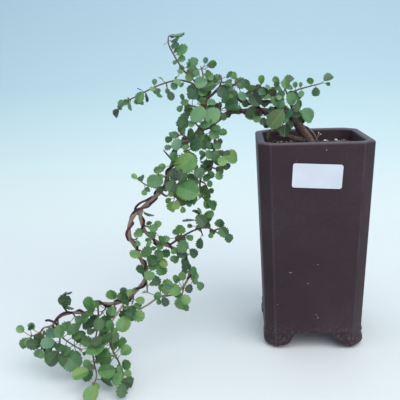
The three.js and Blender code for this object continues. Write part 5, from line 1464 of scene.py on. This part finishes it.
def makeClayFinish():
    material, shader, place = newFinish("darkClay", 0.5, **{"Specular IOR Level": 0.3})
    centred = addNode(place, "ShaderNodeMapping", {"Vector": place, "Location": tuple(-potPlace)}).outputs["Vector"]
    split = partsOf(centred)
    x, y = (maths("ABSOLUTE", split[key]) for key in "XY")
    z = split["Z"]
    rise = pot["height"] * 0.001
    flat = [potHalf(v) * 0.001 - potChamfer(v) * 0.001 for v in (0, pot["height"])]
    # painted highlight along the chamfer edges, broken by a noise, and left out inside the pot
    fromEdge = maths("ABSOLUTE", minus(maths("MINIMUM", x, y), spread(z, 0.0, rise, *flat)))
    broken = noiseOf(centred, *clayPaint["broken"])
    edgeHighlight = times(spread(fromEdge, 0.0003, 0.0016, 1.0, 0.0), spread(broken, 0.35, 0.65))
    inside = maths("LESS_THAN", maths("MAXIMUM", x, y), spread(z, 0.0, rise, 0.0428, 0.0492))
    edgeHighlight = times(edgeHighlight, minus(1.0, inside))
    clouds, fine = noiseOf(centred, *clayPaint["clouds"]), noiseOf(centred, *clayPaint["fine"])
    cloudShare = clayPaint["cloudShare"]
    base = ramped(plus(times(clouds, cloudShare), times(fine, 1 - cloudShare)), clayPaint["ramp"])
    base = mixed(times(edgeHighlight, clayPaint["edgeHighlightShare"]), base, clayPaint["edge"])
    # painted highlight: the upper side of the rim is lighter, where it faces the light from above
    facing = partsOf(addNode(place, "ShaderNodeNewGeometry").outputs["Normal"])["Z"]
    rim = times(spread(facing, 0.3, 0.9), spread(z, 0.2, 0.21))
    base = mixed(times(rim, spread(fine, 0.3, 0.7, 0.35, 0.75)), base, clayPaint["edge"])
    # dust at the feet
    specks = spread(noiseOf(centred, *clayPaint["specks"]), 0.52, 0.62)
    base = mixed(times(spread(z, 0.03, 0.012), times(specks, clayPaint["dustShare"])), base, clayPaint["dust"])
    scuffs = None
    for px, pz, wide, tall in potScratches:
        local = addNode(place, "ShaderNodeMapping", {
            "Vector": centred, "Location": (-px * 0.001 / wide, 0.0, -pz * 0.001 / tall),
            "Scale": (1 / wide, 0.0, 1 / tall)}).outputs["Vector"]
        away = addNode(place, "ShaderNodeVectorMath", {0: local}, operation="LENGTH").outputs["Value"]
        mark = spread(away, 0.0006, 0.0012, 1.0, 0.0)
        scuffs = mark if scuffs is None else maths("MAXIMUM", scuffs, mark)
    scuffs = times(times(scuffs, maths("LESS_THAN", split["Y"], -0.04)), spread(fine, 0.42, 0.58))
    base = mixed(times(scuffs, clayPaint["scratchShare"]), base, clayPaint["dust"])
    dress(shader, base, spread(fine, 0.25, 0.75, *clayPaint["rough"]), plus(fine, times(clouds, 2.0)),
          *clayPaint["bump"])
    return material


def potPiece():
    loops = [chamferedLoop(potHalf(z) + grow, potChamfer(z), z) for z, grow in footBulge]
    lip, top = pot["lip"], pot["height"]
    turns = [k / lipSteps * math.pi / 2 for k in range(lipSteps + 1)]
    lips = [(lip * (1 - math.cos(a)), top - lip + lip * math.sin(a)) for a in turns]
    loops += [chamferedLoop(potHalf(z) - less, potChamfer(z), z) for less, z in lips]
    mouth = potHalf(top) - pot["wall"]
    loops += [roundedLoop(mouth + more, pot["innerCorner"], z) for more, z in reversed(lips)]
    inner = pot["underside"] + pot["floor"]
    loops.append(roundedLoop(potHalf(inner) - pot["wall"], pot["innerCorner"], inner))
    made = skinOf("clayPot", loops)
    ring = [(pot["drain"] * math.cos(a), pot["drain"] * math.sin(a))
            for a in np.linspace(0, 2 * math.pi, drainSteps + 1)[:-1]]
    cutters = [archCutter("archAlong", False), archCutter("archAcross", True),
               skinOf("drainCutter", [[(x, y, z) for x, y in ring] for z in throughFloor])]
    for cutter in cutters:
        modifier = made.modifiers.new(cutter.name, "BOOLEAN")
        modifier.operation, modifier.solver, modifier.object = "DIFFERENCE", "EXACT", cutter
    bevel = made.modifiers.new("worn edges", "BEVEL")
    bevel.limit_method, bevel.angle_limit = "ANGLE", math.radians(pot["bevelAngle"])
    bevel.width, bevel.segments, bevel.use_clamp_overlap = pot["edge"] * 0.001, pot["bevelSteps"], True
    bakedDown(made, makeClayFinish())
    for cutter in cutters:
        bpy.data.objects.remove(cutter)
    made.data.set_sharp_from_angle(angle=math.radians(pot["sharpAngle"]))
    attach(made, "root")
    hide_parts("pot")
    return made


clayPot = potPiece()
print("pot faces:", len(clayPot.data.polygons))


# Soil: a bumpy bed, with loose grains scattered over it

soil = {"level": 202, "bump": 1.3, "rows": 34, "density": 60000.0, "grainSize": (0.0011, 0.003), "seed": 3,
        "cornerSteps": 15, "grainKinds": 3, "stoneTone": 0.97,
        "stones": [(19.8, 38, 3.6), (31.6, 38, 3.8), (38.1, 37, 3.2), (40.9, 38.5, 3), (-14.5, 40, 6.4),
                   (-10, 41, 4.6), (6, -30, 4), (-30, -12, 3.4), (24, 4, 4.2)]}
soilPaint = {"grains": [(0.0, (38, 29, 25)), (0.5, (66, 52, 43)), (0.78, (104, 86, 70)), (0.92, (170, 158, 144)),
                        (1.0, (206, 202, 198))],
             "bed": [(0.35, (30, 23, 19)), (0.55, (60, 46, 36)), (0.72, (92, 74, 58))],
             "speckle": (260, 6, 0.7), "relief": (700, 6, 0.7), "speckleShare": 0.3, "depth": 0.0006}


def soilHeight(x, y):
    rough = noise.fractal(Vector((x * 0.16, y * 0.16, 4.0)), 0.8, 2.2, 4) * 0.9
    return (soil["level"] + soil["bump"] * math.sin(0.11 * x + 1) * math.cos(0.13 * y)
            + 0.5 * soil["bump"] * math.sin(0.29 * x) * math.sin(0.31 * y + 2) + rough)


def makeSoilFinish(name, kind):
    material, shader, place = newFinish(name, 0.95)
    value = noiseOf(place, *soilPaint["speckle"])
    if kind == "grains":
        value = plus(attributeOf(place, "grainTone"), times(minus(value, 0.5), soilPaint["speckleShare"]))
    dress(shader, ramped(value, soilPaint[kind]), None, noiseOf(place, *soilPaint["relief"]), soilPaint["depth"])
    return material


def makeGrainTree():
    tree, start, end = newTree("scatterGrains", {
        "Grains": "Collection", "Density": "Float", "Smallest": "Float", "Largest": "Float", "Seed": "Int",
        "Finish": "Material"})
    points = geometryOf(tree, "DistributePointsOnFaces", {
        "Mesh": start["Geometry"], "Density": start["Density"], "Seed": start["Seed"]})
    size = addNode(tree, "FunctionNodeRandomValue", {
        2: start["Smallest"], 3: start["Largest"], "Seed": start["Seed"]}, data_type="FLOAT")
    turn = addNode(tree, "FunctionNodeRandomValue", {
        0: (0.0, 0.0, 0.0), 1: (6.28, 6.28, 6.28), "Seed": 11}, data_type="FLOAT_VECTOR")
    tone = addNode(tree, "FunctionNodeRandomValue", {2: 0.0, 3: 1.0, "Seed": 17}, data_type="FLOAT")
    marked = geometryOf(tree, "StoreNamedAttribute", {
        "Geometry": points, "Name": "grainTone", "Value": tone.outputs[1]}, data_type="FLOAT", domain="POINT")
    placed = geometryOf(tree, "InstanceOnPoints", {
        "Points": marked, "Instance": childrenOf(tree, start["Grains"]), "Pick Instance": True,
        "Rotation": turn.outputs[0], "Scale": size.outputs[1]})
    tree.links.new(finished(tree, placed, start["Finish"]), end.inputs["Geometry"])
    return tree


def makeGrainShapes():
    grains = bpy.data.collections.new("grains")
    bpy.context.scene.collection.children.link(grains)
    for n in range(soil["grainKinds"]):
        shape = bmesh.new()
        bmesh.ops.create_icosphere(shape, subdivisions=1, radius=0.5)
        for v in shape.verts:
            v.co *= 0.85 + 0.5 * noise.noise(v.co * 3 + Vector((n * 9.1, 0, 0)))
            v.co.z *= 0.75
        mesh = bpy.data.meshes.new(f"grain{n}")
        shape.to_mesh(mesh)
        shape.free()
        grains.objects.link(bpy.data.objects.new(f"grain{n}", mesh))
    return grains


def soilPieces():
    inner, gap, steps = pot["underside"] + pot["floor"], growth["gap"], soil["cornerSteps"]
    edge = roundedLoop(potHalf(soil["level"]) - pot["wall"] - gap, pot["innerCorner"], 0, steps)
    loops = [roundedLoop(potHalf(inner) - pot["wall"] - gap, pot["innerCorner"], inner + gap, steps)]
    for row in range(soil["rows"]):
        share = 1 - row / soil["rows"]
        drop = 1.0 if row == 0 else 0.0
        loops.append([(x * share, y * share, soilHeight(x * share, y * share) - drop) for x, y, z in edge])
    bed = skinOf("soilBed", loops)
    bed.data.materials.append(makeSoilFinish("pottingSoil", "bed"))
    grains, grainFinish = makeGrainShapes(), makeSoilFinish("soilGrain", "grains")
    made = newObject("soilGrains", [v.co for v in bed.data.vertices],
                     gridFaces(range(2, soil["rows"] - 1), len(edge)))
    grownBy(made, makeGrainTree(), {
        "Grains": grains, "Density": soil["density"], "Smallest": soil["grainSize"][0],
        "Largest": soil["grainSize"][1], "Seed": soil["seed"], "Finish": grainFinish})
    for shape in list(grains.objects):
        bpy.data.objects.remove(shape)
    stones = bmesh.new()
    for n, (x, y, size) in enumerate(soil["stones"]):
        place = toMetres((x, y, soilHeight(x, y) + size * 0.12))[0]
        for v in bmesh.ops.create_icosphere(stones, subdivisions=2, radius=size * 0.0005)["verts"]:
            rough = noise.noise(v.co * 900 + Vector((n * 5.3, 0, 0)))
            v.co = Vector(place) + v.co * (1 + 0.35 * rough)
    mesh = bpy.data.meshes.new("paleStones")
    stones.to_mesh(mesh)
    stones.free()
    setAttribute(mesh, "grainTone", [soil["stoneTone"]] * len(mesh.vertices))
    mesh.materials.append(grainFinish)
    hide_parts("soil")
    for piece in (bed, made, addObject("paleStones", mesh)):
        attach(piece, "root")
    print("soil grains faces:", len(made.data.polygons))


soilPieces()


# Dry sprig with two pale buds beside the trunk: points and radii of its four parts

sprig = {"sides": 8, "colours": [(0.35, (120, 104, 66)), (0.6, (170, 156, 104)), (0.8, (224, 218, 198))],
         "lines": [([(3, 1, 203), (4.4, 0.5, 208.5), (7.2, 0, 212.4), (9.6, 0, 214.4)], [0.34, 0.32, 0.28, 0.22]),
                   ([(6.6, 0, 211.8), (7.2, 0, 214), (7.7, 0, 216)], [0.24, 0.22, 0.2]),
                   ([(9.1, 0, 214), (9.8, 0, 214.7), (10.4, 0, 215.2)], [0.4, 0.8, 0.4]),
                   ([(7.5, 0, 215.4), (7.8, 0, 216.2), (8, 0, 217)], [0.35, 0.75, 0.35])]}


def sprigPiece():
    material, shader, place = newFinish("drySprig", 0.8)
    value = plus(noiseOf(place, 600), spread(partsOf(place)["Z"], 0.2128, 0.2148, -0.1, 0.3))
    dress(shader, ramped(value, sprig["colours"]), None, noiseOf(place, 900), 0.0003)
    made = tubePiece("drySprig", [(np.array(points, float), radii) for points, radii in sprig["lines"]],
                     sprig["sides"], material)
    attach(made, "root")


sprigPiece()
print("sprig done")


# Blank sticker: the CAD plate with a paper finish

paperPaint = {"ramp": [(0.35, (202, 209, 220)), (0.65, (211, 217, 228))], "fibre": (190, 190, 196),
              "fibres": (900, 5, 0.7), "clouds": (40, 2), "fibreShare": 0.06, "rough": (0.34, 0.5),
              "bump": (0.00008, 0.4)}


def makePaperFinish():
    material, shader, place = newFinish("blankPaper", 0.4)
    fibres, clouds = noiseOf(place, *paperPaint["fibres"]), noiseOf(place, *paperPaint["clouds"])
    base = mixed(times(fibres, paperPaint["fibreShare"]), ramped(clouds, paperPaint["ramp"]), paperPaint["fibre"])
    dress(shader, base, spread(fibres, 0.3, 0.7, *paperPaint["rough"]), fibres, *paperPaint["bump"])
    return material


sticker = frame["nodes"]["label"]
sticker.data.materials.clear()
sticker.data.materials.append(makePaperFinish())
print("sticker done")


# Studio: pale floor that sweeps up into a backdrop, soft light from large panels

studio = {"world": 0.57, "sky": (0.86, 0.93, 1.0, 1.0), "aim": (-60, 0, 150),
          # power, size, place and colour of each panel
          "lamps": {"key": (25.5, 2.0, (0.75, -0.95, 1.3), (1.0, 0.99, 0.97)),
                    "fill": (4.0, 1.6, (-1.3, -0.7, 0.7), (0.9, 0.95, 1.0)),
                    "top": (13.5, 2.6, (0.0, 0.5, 1.6), (0.95, 0.98, 1.0))},
          # half width of the flat floor, its far edge, where the sweep starts, its radius, top of the backdrop
          "flat": 2.0, "far": 9.0, "back": 1.1, "sweep": 0.7, "height": 3.2, "dish": 0.05, "rows": 15, "sweepRows": 12,
          "colours": [(0.08, (221, 227, 230)), (0.24, (227, 236, 236)), (0.44, (228, 243, 243)),
                      (0.6, (209, 232, 236)), (0.72, (194, 220, 230)), (0.84, (187, 213, 226)),
                      (1.0, (180, 206, 222))]}


def makeFloor():
    flat, far, back, sweep = studio["flat"], studio["far"], studio["back"], studio["sweep"]
    rows = np.linspace(-far, -flat, studio["rows"])
    outline = [(y, 0.0) for y in rows] + [(back, 0.0)]
    outline += [(back + sweep * math.sin(a), sweep - sweep * math.cos(a))
                for a in np.linspace(0, math.pi / 2, studio["sweepRows"] + 1)[1:]]
    outline.append((back + sweep, studio["height"]))
    columns = [*rows, *np.linspace(flat, far, studio["rows"])]
    # far away the floor rises like a dish, so that its rim stays out of sight from every side
    vertices = [(x, y, z + studio["dish"] * (max(0.0, abs(x) - flat) ** 2 + max(0.0, -flat - y) ** 2))
                for y, z in outline for x in columns]
    floor = newObject("floor", vertices, gridFaces(range(len(outline) - 1), len(columns), closed=False))
    material, shader, place = newFinish("paleFloor", 0.75)
    split = partsOf(place)
    # the colour follows the way back along the floor and on up the backdrop
    dress(shader, ramped(spread(plus(split["Y"], split["Z"]), 0.0, 2.5), studio["colours"]))
    floor.data.materials.append(material)


def makeLights():
    world = bpy.data.worlds.new("studio")
    world.use_nodes = True
    sky = world.node_tree.nodes["Background"].inputs
    sky["Color"].default_value, sky["Strength"].default_value = studio["sky"], studio["world"]
    bpy.context.scene.world = world
    bpy.context.scene.view_settings.view_transform = "Standard"
    aim = Vector(toMetres(studio["aim"])[0])
    for name, (power, size, place, colour) in studio["lamps"].items():
        data = bpy.data.lights.new(name, "AREA")
        data.energy, data.size, data.color = power, size, colour
        lamp = addObject(name, data)
        lamp.location = place
        lamp.rotation_euler = (aim - Vector(place)).to_track_quat("-Z", "Y").to_euler()


makeFloor()
makeLights()
print("studio done")
for shape in list(leafShapes.objects):
    bpy.data.objects.remove(shape)
